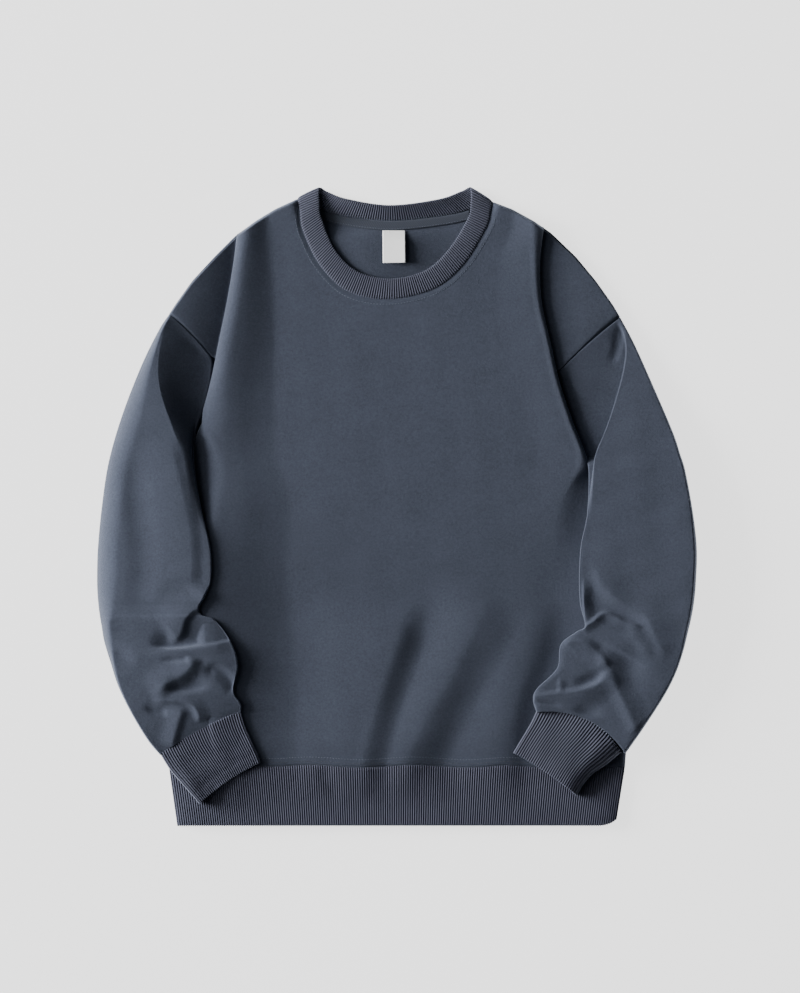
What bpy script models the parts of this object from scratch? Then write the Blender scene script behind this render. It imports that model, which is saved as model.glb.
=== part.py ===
"""Crewneck sweatshirt, laid flat on its back with both sleeves folded down over the front.

Blender 4.5. +X is the right of the garment as it is looked at, +Y runs from the hem to the collar and +Z is up
from the surface it lies on. Sizes and places below are in millimetres; meshes are made in metres.

Each maker's piece is one closed wall of cloth. "Left" and "right" are as seen from above.
"""
import math
from collections import namedtuple

import bmesh
import bpy
from mathutils import Vector

MM = 0.001
OBJECT_NAME = "crewneck_sweatshirt"

# Cloth
BODY_CLOTH = 2.0            # thickness of the brushed jersey
RIB_CLOTH = 2.4             # thickness of the ribbed knit between its ridges
TAPE_CLOTH = 1.0
LABEL_CLOTH = 1.0
SEAM_GAP = 0.5              # between the edges of pieces that are sewn together
NECK_SEAM_GAP = 0.9         # at the front's points round the neck, whose straight runs come nearer between
LAY_GAP = 0.3               # between a piece and what it lies on
REST_CLEARANCE = 0.9        # under a sleeve where it lies on the front
NECK_TILT_ROOM = 1.0        # more room for the tilted edge of the neckband's back
NECK_CORNER_ROOM = 1.0      # more room where the neckband turns over at the shoulders

# Ribs
HEM_RIB_PITCH = 2.4
CUFF_RIB_PITCH = 2.2
NECK_RIB_PITCH = 2.6
RIB_RISE = 0.35             # a ridge above, and a groove below, the middle of the outer face
CUFF_PLAIN_STEP = 8         # columns outside, two to a rib, for each one inside
HEM_PLAIN_STEP = 8

# Heights of the middle of the front's cloth
CHEST = 12.0
FLATTENED = 6.2             # where a sleeve lies on it, and at the foot of the armhole folds
SHOULDER_EDGE = BODY_CLOTH + LAY_GAP + BODY_CLOTH / 2
SHOULDER_RISE = 8.5         # of the drop shoulder near its outer edge, above FLATTENED
SHOULDER_ROUND = 14.0       # width of the round edge along the shoulder
SHOULDER_SLOPE = 46.0       # width over which the drop shoulder falls towards the armhole fold
SIDE_ROUND = 9.0            # width of the round edge along the side seam
ROLL_SLOPE = 38.0           # width of the inner slope of the armhole folds
HEM_TOP = 9.2
HEM_PULL = 2.6              # how much lower the front is at the hem seam
HEM_PULL_LENGTH = 55.0

# Lengths down the front
HEM_SEAM_Y = -286.6
HEM_EDGE_Y = -351.5
UNDERARM_Y = 7.0
HEM_SEAM_HALF = 250.8       # half the width at the hem seam
HEM_EDGE_HALF = 241.5
HEM_SIDE_ROUND = 26.0

BodyRow = namedtuple("BodyRow", "y fold crest rise bump armhole side")
# One row for each level down one half of the front, as distances outwards from the middle.
# fold: where the armhole fold or the slope beside the sleeve starts; crest: its highest line; rise: the width of
# its outer face; bump: the height of the roll above the chest; armhole: the cut edge of the front where it runs
# hidden; side: the side seam.
BODY_LEFT = [
    BodyRow(302, 177.0, 165, 3.5, 8.0, 177, 250),
    BodyRow(269, 181.0, 170, 3.5, 8.0, 181, 250),
    BodyRow(227, 188.0, 175, 3.5, 8.0, 188, 250),
    BodyRow(183, 197.0, 183, 3.5, 8.0, 197, 250),
    BodyRow(139, 206.0, 190, 4.0, 8.0, 206, 250),
    BodyRow(95, 217.5, 192, 9.0, 7.5, 217, 250),
    BodyRow(51, 229.0, 184, 36.0, 6.5, 236, 254),
    BodyRow(7, 234.0, 174, 52.0, 3.5, 260.7, 260.7),
    BodyRow(-59, 222.0, 166, 52.0, 0.0, 265, 265),
    BodyRow(-147, 206.0, 158, 46.0, 0.0, 263, 263),
    BodyRow(-213, 196.0, 150, 44.0, 0.0, 258.5, 258.5),
    BodyRow(-287, 190.0, 148, 40.0, 0.0, 250.8, 250.8),
]
BODY_RIGHT = [
    BodyRow(306, 162.5, 150, 3.5, 8.0, 163, 245),
    BodyRow(269, 158.5, 146, 3.5, 8.0, 159, 245),
    BodyRow(227, 160.0, 148, 3.5, 8.0, 160, 245),
    BodyRow(183, 169.5, 156, 3.5, 8.0, 170, 245),
    BodyRow(139, 179.5, 165, 4.0, 8.0, 180, 245),
    BodyRow(95, 194.0, 174, 9.0, 7.5, 194, 245),
    BodyRow(51, 211.0, 182, 26.0, 6.5, 220, 252),
    BodyRow(7, 222.0, 180, 42.0, 3.0, 259.6, 259.6),
    BodyRow(-59, 214.0, 170, 44.0, 0.0, 264, 264),
    BodyRow(-147, 200.0, 154, 44.0, 0.0, 260.7, 260.7),
    BodyRow(-213, 170.0, 132, 38.0, 0.0, 256.3, 256.3),
    BodyRow(-287, 160.0, 124, 36.0, 0.0, 250.8, 250.8),
]

Spot = namedtuple("Spot", "x y")
# Outer edge of each shoulder, from the neck seam to the armhole seam.
SHOULDER_LEFT = [Spot(-108.5, 339), Spot(-134, 327.3), Spot(-155, 314.5), Spot(-177, 298.5),
                 Spot(-201, 274.5), Spot(-225.5, 248), Spot(-244, 222), Spot(-250.5, 212)]
SHOULDER_RIGHT = [Spot(104.5, 335.5), Spot(126.5, 327.3), Spot(150.7, 314), Spot(169.4, 301),
                  Spot(197, 274.5), Spot(219, 248), Spot(237.6, 221.7), Spot(245.5, 208.5)]
ARMHOLE_BOW = 8.0           # of the armhole seam, from a straight line

BackSide = namedtuple("BackSide", "y left right")
# The back's side between the armhole seam and the underarm, as distances outwards from the middle.
BACK_SIDES = [BackSide(212, 250.5, 245.5), BackSide(140, 243.0, 238.0), BackSide(73, 247.5, 243.0),
              BackSide(UNDERARM_Y, 260.7, 259.6)]

Half = namedtuple("Half", "rows shoulder fold_top crest_top foot mirror")
# The two halves of the front. fold_top and crest_top: where the armhole fold's outer edge and its crest meet the
# shoulder; foot: where the armhole seam goes under the fold.
LEFT = Half(BODY_LEFT, SHOULDER_LEFT, Spot(-177, 298.5), Spot(-165, 307.2), Spot(-204.6, 165.3), -1)
RIGHT = Half(BODY_RIGHT, SHOULDER_RIGHT, Spot(162, 306.1), Spot(150, 314.4), Spot(180.0, 150.8), 1)

Fold = namedtuple("Fold", "top_x top_y bottom_x bottom_y left right rise")
# Soft ridges and troughs of the lower front, each along a line, with the width of its two slopes.
BODY_FOLDS = [
    Fold(-20, -125, -49, -290, 36, 22, 6.0),
    Fold(78, -125, 6, -290, 46, 30, 6.5),
    Fold(150, -140, 96, -290, 36, 26, 4.0),
    Fold(-150, -20, -112, -290, 40, 34, -3.5),
]
FOLD_ENDS = 60.0            # the length over which a fold dies out at its ends

# Grid of the front
UPPER_ROWS = 8              # down to the foot of the armhole seam
LOWER_ROWS = 20
SHOULDER_COLUMNS = 2
NECK_COLUMNS = 22
SEAM_PARTS = (0.0, 0.25, 0.5, 0.75)         # columns between the armhole seam and the fold
LOW_PARTS = (0.0, 0.08, 0.3, 0.62)          # the same columns below the armhole, from the side seam
TUCK_HEIGHTS = (3.0, 3.8, 4.6, 5.4)         # the same columns where they turn down under the fold
TUCK_END_Y = 64.0
TUCK_FADE = 24.0
FACE_PARTS = (0.3, 0.75, 1.0)               # columns up the fold's outer face

Station = namedtuple("Station", "outer_x outer_y inner_x inner_y flange top bow")
# One row for each section of a sleeve, from the armhole to the cuff. outer and inner: the two edges of the
# flattened tube; flange: how far the highest line lies from the inner edge; top: its height above the surface;
# bow: how far the section curves towards the collar in plan.
SLEEVE_LEFT = [
    Station(-250.6, 211.4, -205.3, 164.5, 50, 15, 2.0),
    Station(-261.5, 195.0, -205.4, 150.0, 58, 18, 1.0),
    Station(-281.0, 155.5, -212.5, 116.0, 58, 23, 0.0),
    Station(-302.0, 101.5, -223.0, 82.0, 32, 27, 0.0),
    Station(-317.0, 50.0, -223.0, 49.0, 16, 30, 0.0),
    Station(-324.5, 2.0, -216.0, 2.0, 14, 34, 0.0),
    Station(-329.0, -44.0, -205.3, -46.0, 14, 36, 0.0),
    Station(-330.0, -86.0, -206.0, -86.0, 14, 35, 0.0),
    Station(-328.3, -113.0, -216.7, -110.0, 14, 34, 0.0),
    Station(-323.0, -146.0, -194.0, -131.0, 14, 35, 0.0),
    Station(-311.5, -186.0, -175.5, -168.0, 14, 37, 0.0),
    Station(-296.0, -220.0, -178.5, -196.0, 14, 36, 0.0),
    Station(-272.5, -262.0, -170.5, -220.0, 14, 35, 1.5),
    Station(-260.5, -273.5, -171.5, -226.4, 14, 33, 3.5),
]
SLEEVE_RIGHT = [
    Station(245.7, 207.8, 180.7, 150.0, 60, 15, 2.0),
    Station(261.5, 178.0, 182.6, 134.0, 64, 18, 1.0),
    Station(283.0, 130.0, 191.6, 106.0, 52, 23, 0.0),
    Station(303.5, 82.0, 202.5, 76.0, 34, 27, 0.0),
    Station(317.5, 38.0, 211.0, 40.0, 16, 30, 0.0),
    Station(325.5, -6.0, 209.0, -8.0, 14, 34, 0.0),
    Station(329.9, -46.0, 201.5, -46.0, 14, 36, 0.0),
    Station(328.0, -94.0, 200.7, -94.0, 14, 35, 0.0),
    Station(323.5, -124.0, 205.7, -131.0, 14, 34, 0.0),
    Station(315.5, -158.0, 179.0, -156.0, 14, 36, 0.0),
    Station(305.5, -186.0, 175.0, -186.0, 14, 36, 0.0),
    Station(292.0, -212.0, 149.0, -205.0, 14, 34, 2.0),
    Station(270.0, -246.0, 152.0, -218.0, 14, 33, 10.0),
    Station(251.3, -272.0, 153.3, -226.4, 14, 32, 16.0),
]
CUFF_LEFT = [
    Station(-259.3, -274.6, -172.7, -227.6, 10, 31, 3.5),
    Station(-243.5, -300.0, -163.0, -254.0, 10, 30, 4.0),
    Station(-217.8, -326.0, -150.7, -281.0, 10, 29, 3.0),
]
CUFF_RIGHT = [
    Station(243.5, -272.6, 153.6, -227.6, 10, 30, 16.0),
    Station(215.0, -293.0, 142.5, -248.5, 10, 30, 8.0),
    Station(198.0, -317.0, 128.7, -270.0, 10, 29, 2.0),
]
SLEEVE_RINGS = 24
SLEEVE_ROLL = 20.0          # width of the round outer edge of a sleeve
CUFF_ROLL = 12.0
FLANGE_HEIGHT = 5.0         # two layers of cloth lying on each other
CROWN_DROP = 3.0            # how much lower a sleeve's top is at its outer edge than at its highest line
SLEEVE_UNDER = (0.955, 0.86, 0.66, 0.46, 0.26, 0.12, 0.045)     # columns underneath, as shares of the width
CUFF_UNDER = (0.8, 0.5, 0.2)

NeckSection = namedtuple("NeckSection", "seam_x seam_y seam_z free_x free_y free_z")
# The neckband as one ring: down the left of the front, round, up the right, and back along the back of the neck.
# It turns over at both shoulders.
NECKBAND = [
    NeckSection(-108.5, 338.5, 5.4, -84.7, 350.0, 7.2),
    NeckSection(-107.0, 325.0, 9.8, -85.4, 334.5, 11.2),
    NeckSection(-103.4, 303.0, 11.2, -83.2, 317.5, 12.4),
    NeckSection(-85.0, 265.6, 12.0, -68.5, 283.0, 13.4),
    NeckSection(-55.0, 237.0, 12.0, -44.5, 259.5, 13.4),
    NeckSection(-11.0, 228.0, 12.0, -9.5, 250.7, 13.4),
    NeckSection(39.6, 238.8, 12.0, 29.5, 258.8, 13.4),
    NeckSection(73.4, 265.6, 12.0, 57.0, 283.0, 13.4),
    NeckSection(98.6, 306.0, 11.4, 77.6, 316.5, 12.6),
    NeckSection(103.6, 323.5, 10.0, 81.0, 333.0, 11.4),
    NeckSection(104.5, 335.0, 5.4, 80.3, 350.0, 7.2),
    NeckSection(93.0, 331.2, 1.8, 71.0, 347.0, 5.2),
    NeckSection(58.0, 321.8, 1.5, 45.0, 338.0, 8.6),
    NeckSection(-8.0, 315.2, 1.5, -8.0, 331.5, 10.4),
    NeckSection(-65.0, 321.8, 1.5, -55.0, 338.5, 8.6),
    NeckSection(-96.0, 332.6, 1.8, -76.0, 346.2, 5.2),
]
NECK_LEFT = 0               # rows of the table at which the band turns over
NECK_RIGHT = 10
NECK_ROUND = len(NECKBAND)
BACK_NECK_POINTS = 12

TAPE_WIDTH = 10.0
TAPE_ENDS = (-88.0, 80.0)
TAPE_GAP = 1.4              # below the neckband's back seam
LABEL_ROW = 13              # of the neckband's table, above the label
LABEL_LEFT = -15.8
LABEL_WIDTH = 24.8
LABEL_LENGTH = 35.8
LABEL_LIFT = 4.0            # of the label's loose end

# Finishes: red, green, blue, roughness
SLATE_JERSEY = (0.062, 0.076, 0.108, 0.95)
SLATE_RIB = (0.050, 0.058, 0.080, 0.92)
SLATE_TAPE = (0.066, 0.078, 0.104, 0.90)
WHITE_SATIN = (0.92, 0.92, 0.91, 0.60)


def clamp(value, low=0.0, high=1.0):
    return max(low, min(high, value))


def mix(start, end, share):
    return start + (end - start) * share


def smooth(share):
    """0 to 1 with soft ends."""
    share = clamp(share)
    return share * share * (3.0 - 2.0 * share)


def quarter_round(share):
    """0 to 1 as the side of a round edge rises."""
    return math.sqrt(1.0 - (1.0 - clamp(share)) ** 2)


def between(rows, place, closed=False):
    """A table's row at a fractional place, on a smooth curve through its rows."""
    count = len(rows)
    if closed:
        place = place % count
        first = int(math.floor(place))
        around = [rows[(first + step) % count] for step in (-1, 0, 1, 2)]
    else:
        first = int(clamp(math.floor(place), 0, count - 2))
        around = [rows[int(clamp(first + step, 0, count - 1))] for step in (-1, 0, 1, 2)]
    t = place - first
    weights = (
        (-t + 2 * t * t - t * t * t) / 2,
        (2 - 5 * t * t + 3 * t * t * t) / 2,
        (t + 4 * t * t - 3 * t * t * t) / 2,
        (-t * t + t * t * t) / 2,
    )
    values = [sum(w * row[k] for w, row in zip(weights, around)) for k in range(len(rows[0]))]
    return type(rows[0])(*values)


def at_level(rows, y):
    """A table's row at the level y, straight between its rows; the first value of each row is its level."""
    y = clamp(y, rows[-1].y, rows[0].y)
    for upper, lower in zip(rows, rows[1:]):
        if y >= lower.y:
            share = (upper.y - y) / (upper.y - lower.y)
            return type(upper)(*(mix(a, b, share) for a, b in zip(upper, lower)))
    return rows[-1]


def height_on_line(line, x):
    """The y of a line of spots at x; the line runs outwards from the middle."""
    out = clamp(abs(x), abs(line[0].x), abs(line[-1].x))
    for start, end in zip(line, line[1:]):
        if out <= abs(end.x):
            return mix(start.y, end.y, (out - abs(start.x)) / (abs(end.x) - abs(start.x)))
    return line[-1].y


def half_at(x):
    return LEFT if x < 0 else RIGHT


def fold_height(x, y):
    """Sum of the lower front's ridges and troughs at a place."""
    total = 0.0
    for fold in BODY_FOLDS:
        along_x = fold.bottom_x - fold.top_x
        along_y = fold.bottom_y - fold.top_y
        length = math.hypot(along_x, along_y)
        run = ((x - fold.top_x) * along_x + (y - fold.top_y) * along_y) / length
        aside = ((x - fold.top_x) * -along_y + (y - fold.top_y) * along_x) / length
        width = fold.right if aside > 0 else fold.left
        ends = smooth(run / FOLD_ENDS) * smooth((length + FOLD_ENDS - run) / FOLD_ENDS)
        total += fold.rise * ends * (1.0 - smooth(abs(aside) / width))
    return total


def front_height(x, y):
    """Height of the middle of the front's cloth."""
    half = half_at(x)
    row = at_level(half.rows, y)
    out = abs(x)
    to_shoulder = (height_on_line(half.shoulder, x) - y) * 0.76
    pull = HEM_PULL * smooth((HEM_SEAM_Y + HEM_PULL_LENGTH - y) / HEM_PULL_LENGTH)
    chest = CHEST + fold_height(x, y) - pull
    roll = row.bump * (1.0 - smooth((row.crest - out) / ROLL_SLOPE))
    share = (row.fold - BODY_CLOTH / 2 - out) / row.rise
    face = mix(quarter_round(share), smooth(share), clamp((row.rise - 6) / 16))
    drop = SHOULDER_RISE * (1.0 - clamp(to_shoulder / SHOULDER_SLOPE)) * smooth((y - 130) / 30)
    height = mix(FLATTENED + drop, chest + roll, face)
    if y > 120:
        height = mix(SHOULDER_EDGE, height, quarter_round(to_shoulder / SHOULDER_ROUND))
    if y < 40:
        height = mix(SHOULDER_EDGE, height, quarter_round((row.side - out) / SIDE_ROUND))
    return height


def hem_height(x, y):
    """Height of the middle of the hem's front layer."""
    down = clamp((HEM_SEAM_Y - y) / (HEM_SEAM_Y - HEM_EDGE_Y))
    half = mix(HEM_SEAM_HALF, HEM_EDGE_HALF, down)
    side = RIB_CLOTH * 1.5 + LAY_GAP + RIB_RISE
    flat = mix(side, HEM_TOP, quarter_round((half - abs(x)) / HEM_SIDE_ROUND))
    return mix(max(front_height(x, HEM_SEAM_Y), side), flat, smooth(down * 1.3))


def support(x, y):
    """Height on which a sleeve or cuff rests at a place."""
    half = half_at(x)
    out = abs(x)
    row = at_level(half.rows, y)
    back = at_level(BACK_SIDES, y)
    back_side = row.side if y < UNDERARM_Y else back.left if x < 0 else back.right
    on_back = (BODY_CLOTH + 0.7) * (1.0 - smooth((out - back_side - 8) / 16.0))
    within = math.copysign(min(out, row.side - SIDE_ROUND), x)
    if y > HEM_SEAM_Y + 14:
        under = front_height(within, y) + BODY_CLOTH / 2
    else:
        under = max(hem_height(within, y), front_height(within, y)) + RIB_CLOTH / 2 + RIB_RISE
    on_front = (under + REST_CLEARANCE) * (1.0 - smooth((out - row.armhole - 14) / 18.0))
    return max(on_back, on_front * smooth((88.0 - y) / 22.0))


def tube_section(station, inset, roll, tops, bottoms):
    """A flattened tube's section as a loop of points: over the top from the outer edge to the inner, and back
    underneath. inset moves it inwards by the cloth's thickness; tops and bottoms are the shares of the width
    at which the points lie, tops being None for the places that suit a sleeve."""
    outer = Vector((station.outer_x, station.outer_y))
    inner = Vector((station.inner_x, station.inner_y))
    width = (inner - outer).length
    across = (inner - outer) / width
    up = Vector((-across.y, across.x))
    if up.y < 0:
        up = -up
    crest = width - station.flange
    roll = min(roll, 0.7 * crest)
    fall = 0.8 * station.flange
    if tops is None:
        steps = [0.0, 0.1 * roll, 0.4 * roll, roll]
        steps += [mix(roll, crest, share) for share in (0.3, 0.65, 1.0)]
        steps += [crest + fall * share for share in (0.3, 0.6, 0.85, 1.0)]
        steps += [mix(crest + fall, width, 0.6), width]
    else:
        steps = [width * share for share in tops]
    under = [width * share for share in bottoms]
    narrow = clamp((station.flange - 16) / 20.0)

    def place(step):
        step = mix(inset, width - inset, step / width)
        spot = outer + across * step + up * (4 * station.bow * (step / width) * (1 - step / width))
        return step, spot

    def base(step, spot):
        edge = 1.0 - quarter_round(min(step, width - step) / 7.0)
        return support(spot.x, spot.y) + inset + edge * FLANGE_HEIGHT / 2

    def top(step, spot):
        level = station.top - CROWN_DROP * (1.0 - clamp(step / crest)) ** 2
        low = support(spot.x, spot.y) + FLANGE_HEIGHT / 2
        if step <= crest:
            return low + (level - low) * quarter_round(step / roll) - inset
        flange = low + FLANGE_HEIGHT / 2 * quarter_round((width - step) / 2.5)
        past = min(1.0, (step - crest) / fall)
        left = mix(math.sqrt(1.0 - past * past), 1 - smooth(past), narrow)
        return flange + (max(level, flange) - flange) * left - inset

    loop = []
    for number, step in enumerate(steps):
        step, spot = place(step)
        height = top(step, spot)
        if inset and number not in (0, len(steps) - 1):
            height = max(height, base(step, spot) + 0.5)
        if inset and number in (0, len(steps) - 1):
            height = base(step, spot) + 0.35
        loop.append(Vector((spot.x, spot.y, height)))
    for step in under:
        step, spot = place(step)
        loop.append(Vector((spot.x, spot.y, base(step, spot))))
    return loop


def new_object(name, bm, finish):
    """Puts a finished bmesh in the scene, in metres, with its own material."""
    bmesh.ops.scale(bm, vec=(MM, MM, MM), verts=bm.verts)
    bmesh.ops.recalc_face_normals(bm, faces=bm.faces)
    mesh = bpy.data.meshes.new(name)
    bm.to_mesh(mesh)
    bm.free()
    red, green, blue, roughness = finish
    material = bpy.data.materials.new(name + "_finish")
    material.use_nodes = True
    shader = material.node_tree.nodes["Principled BSDF"]
    shader.inputs["Base Color"].default_value = (red, green, blue, 1.0)
    shader.inputs["Roughness"].default_value = roughness
    shader.inputs["Metallic"].default_value = 0.0
    material.diffuse_color = (red, green, blue, 1.0)
    mesh.materials.append(material)
    piece = bpy.data.objects.new(name, mesh)
    bpy.data.collections[OBJECT_NAME].objects.link(piece)
    return piece


def sheet(name, rows, thickness, finish):
    """A wall of cloth whose middle runs through rows of points."""
    bm = bmesh.new()
    bmesh.ops.create_grid(bm, x_segments=len(rows[0]) - 1, y_segments=len(rows) - 1, size=1)
    bm.verts.ensure_lookup_table()
    for number, point in enumerate(point for row in rows for point in row):
        bm.verts[number].co = point
    piece = new_object(name, bm, finish)
    wall = piece.modifiers.new("wall", "SOLIDIFY")
    wall.thickness = thickness * MM
    wall.offset = 0.0
    return piece


def two_faced(name, outer, inner, joins, finish, closed):
    """A wall between two grids of points, joined along every open edge. The outside may have several columns
    between two of the inside's, so that it can carry ribs over a plain inside: joins gives the outside's column
    that each column of the inside goes with."""
    bm = bmesh.new()
    grids = [[[bm.verts.new(point) for point in row] for row in grid] for grid in (outer, inner)]
    for grid in grids:
        wide = len(grid[0])
        for upper, lower in zip(grid, grid[1:]):
            for k in range(wide if closed else wide - 1):
                after = (k + 1) % wide
                bm.faces.new((upper[k], upper[after], lower[after], lower[k]))
    fine, plain = grids
    fine_wide = len(fine[0])
    plain_wide = len(plain[0])
    for end in (0, -1):
        for k in range(plain_wide if closed else plain_wide - 1):
            after = (k + 1) % plain_wide
            last = joins[after] if after else fine_wide
            ridge = [fine[end][m % fine_wide] for m in range(joins[k], last + 1)]
            bm.faces.new(ridge + [plain[end][after], plain[end][k]])
    if not closed:
        for side in (0, -1):
            for row in range(len(fine) - 1):
                bm.faces.new((fine[row][side], fine[row + 1][side], plain[row + 1][side], plain[row][side]))
    bmesh.ops.triangulate(bm, faces=bm.faces)
    return new_object(name, bm, finish)


def flat_piece(name, outline, bottom, thickness, finish):
    """A flat outline given its thickness, as a mesh."""
    bm = bmesh.new()
    face = bm.faces.new([bm.verts.new((spot.x, spot.y, bottom)) for spot in outline])
    made = bmesh.ops.extrude_face_region(bm, geom=[face])
    moved = [item for item in made["geom"] if isinstance(item, bmesh.types.BMVert)]
    bmesh.ops.translate(bm, vec=(0, 0, thickness), verts=moved)
    return new_object(name, bm, finish)


def neck_section(place):
    return between(NECKBAND, place, closed=True)


def neck_places(start, end, columns):
    """Places in the neckband's table, at even steps along the middle of the band."""
    samples = 1200
    centres = []
    for number in range(samples + 1):
        section = neck_section(mix(start, end, number / samples))
        centres.append(Vector((section.seam_x + section.free_x, section.seam_y + section.free_y,
                               section.seam_z + section.free_z)) / 2)
    reached = [0.0]
    for before, after in zip(centres, centres[1:]):
        reached.append(reached[-1] + (after - before).length)
    if columns is None:
        columns = 2 * round(reached[-1] / NECK_RIB_PITCH)
    places = []
    sample = 0
    for column in range(columns + 1):
        goal = reached[-1] * column / columns
        while sample < samples - 1 and reached[sample + 1] < goal:
            sample += 1
        part = (goal - reached[sample]) / (reached[sample + 1] - reached[sample])
        places.append(mix(start, end, (sample + part) / samples))
    return places


def neck_seam_spot(place, gap):
    """A spot on the neck seam, moved away from the neckband."""
    section = neck_section(place)
    seam = Vector((section.seam_x, section.seam_y))
    away = (seam - Vector((section.free_x, section.free_y))).normalized()
    moved = seam + away * gap
    return Spot(moved.x, moved.y)


def front_point(x, y):
    return Vector((x, y, front_height(x, y)))


def crest_out(half, y):
    """Distance from the middle to the crest's column."""
    row = at_level(half.rows, y)
    return min(row.crest, row.fold - row.rise - 6)


def outer_columns(half, share, level):
    """Points from the outer edge of the front to the foot of the fold's face. share runs from the shoulder (0)
    to the foot of the armhole seam (1); below that level goes on down."""
    fold_y = mix(half.fold_top.y, level, share)
    fold_out = at_level(half.rows, fold_y).fold - BODY_CLOTH / 2
    fold_x = half.mirror * fold_out
    points = []
    if level >= half.foot.y:
        corner = half.shoulder[-1]
        for part in SEAM_PARTS:
            seam_y = mix(corner.y, half.foot.y, share) + ARMHOLE_BOW * share * (1 - share)
            x = mix(mix(corner.x, half.foot.x, share), fold_x, part)
            y = mix(seam_y, fold_y, part)
            edge_y = height_on_line(half.shoulder, mix(corner.x, half.fold_top.x, part))
            y += (edge_y - mix(corner.y, half.fold_top.y, part)) * (1 - share)
            points.append(front_point(x, y))
    else:
        spread = smooth((TUCK_END_Y - level) / TUCK_FADE)
        side = at_level(half.rows, level).armhole
        for part, height in zip(LOW_PARTS, TUCK_HEIGHTS):
            tucked = Vector((half.mirror * (fold_out + 0.02), level, height))
            points.append(tucked.lerp(front_point(half.mirror * mix(side, fold_out, part), level), spread))
    points.append(Vector((fold_x, fold_y, front_height(half.mirror * (fold_out + 0.1), fold_y))))
    return points


def face_columns(half, share, level):
    """Points up the outer face of the fold and on to its crest."""
    y = mix(half.fold_top.y, level, share)
    row = at_level(half.rows, y)
    outs = [row.fold - BODY_CLOTH / 2 - part * row.rise for part in FACE_PARTS]
    points = [front_point(half.mirror * out, y) for out in outs]
    y = mix(half.crest_top.y, level, share)
    points.append(front_point(half.mirror * crest_out(half, y), y))
    return points


def front_rows():
    """Rows of points through the middle of the front's cloth, from the shoulders and neck down to the hem."""
    tops = []
    for k in range(1, SHOULDER_COLUMNS + 1):
        x = mix(LEFT.crest_top.x, SHOULDER_LEFT[0].x, k / (SHOULDER_COLUMNS + 1))
        tops.append(Spot(x, height_on_line(SHOULDER_LEFT, x)))
    for column, place in enumerate(neck_places(NECK_LEFT, NECK_RIGHT, NECK_COLUMNS)):
        corner = 1.0 - smooth(min(column, NECK_COLUMNS - column) / 3)
        tops.append(neck_seam_spot(place, NECK_SEAM_GAP + NECK_CORNER_ROOM * corner))
    for k in range(SHOULDER_COLUMNS, 0, -1):
        x = mix(RIGHT.crest_top.x, SHOULDER_RIGHT[0].x, k / (SHOULDER_COLUMNS + 1))
        tops.append(Spot(x, height_on_line(SHOULDER_RIGHT, x)))
    rows = []
    for number in range(UPPER_ROWS + LOWER_ROWS + 1):
        share = min(1.0, (number / UPPER_ROWS) ** 1.6)
        down = max(0.0, (number - UPPER_ROWS) / LOWER_ROWS)
        levels = [mix(half.foot.y, HEM_SEAM_Y + SEAM_GAP / 2, down) for half in (LEFT, RIGHT)]
        middle = []
        for k, top in enumerate(tops):
            part = (k + 1) / (len(tops) + 1)
            level = mix(*levels, part)
            low_x = mix(-crest_out(LEFT, level), crest_out(RIGHT, level), part)
            middle.append(front_point(mix(top.x, low_x, share), mix(top.y, level, share)))
        left, right = (outer_columns(half, share, level) + face_columns(half, share, level)
                       for half, level in zip((LEFT, RIGHT), levels))
        rows.append(left + middle + right[::-1])
    return rows


def make_front():
    """The front, from both shoulders and the neck seam down to the hem seam."""
    return sheet("front_panel", front_rows(), BODY_CLOTH, SLATE_JERSEY)


def make_back():
    """The back: flat on the surface, cut to the same outline, with the neckband's back seam at its top."""
    outline = []
    for number in range(BACK_NECK_POINTS + 1):
        place = mix(NECK_RIGHT, NECK_ROUND, number / BACK_NECK_POINTS)
        outline.append(neck_seam_spot(place, SEAM_GAP + NECK_TILT_ROOM))
    outline += SHOULDER_LEFT[1:]
    outline += [Spot(-side.left, side.y) for side in BACK_SIDES[1:]]
    outline += [Spot(-row.side, row.y) for row in BODY_LEFT if HEM_SEAM_Y < row.y < UNDERARM_Y]
    outline += [Spot(side * HEM_SEAM_HALF, HEM_SEAM_Y + SEAM_GAP / 2) for side in (-1, 1)]
    outline += [Spot(row.side, row.y) for row in reversed(BODY_RIGHT) if HEM_SEAM_Y < row.y < UNDERARM_Y]
    outline += [Spot(side.right, side.y) for side in reversed(BACK_SIDES[1:])]
    outline += reversed(SHOULDER_RIGHT[1:])
    return flat_piece("back_panel", outline, 0.0, BODY_CLOTH, SLATE_JERSEY)


def make_sleeve(name, stations):
    """One sleeve, a flattened tube from the armhole to the cuff."""
    outer = []
    inner = []
    for number in range(SLEEVE_RINGS):
        station = between(stations, number / (SLEEVE_RINGS - 1) * (len(stations) - 1))
        outer.append(tube_section(station, 0.0, SLEEVE_ROLL, None, SLEEVE_UNDER))
        inner.append(tube_section(station, BODY_CLOTH, SLEEVE_ROLL, None, SLEEVE_UNDER))
    return two_faced(name, outer, inner, range(len(outer[0])), SLATE_JERSEY, closed=True)


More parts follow.
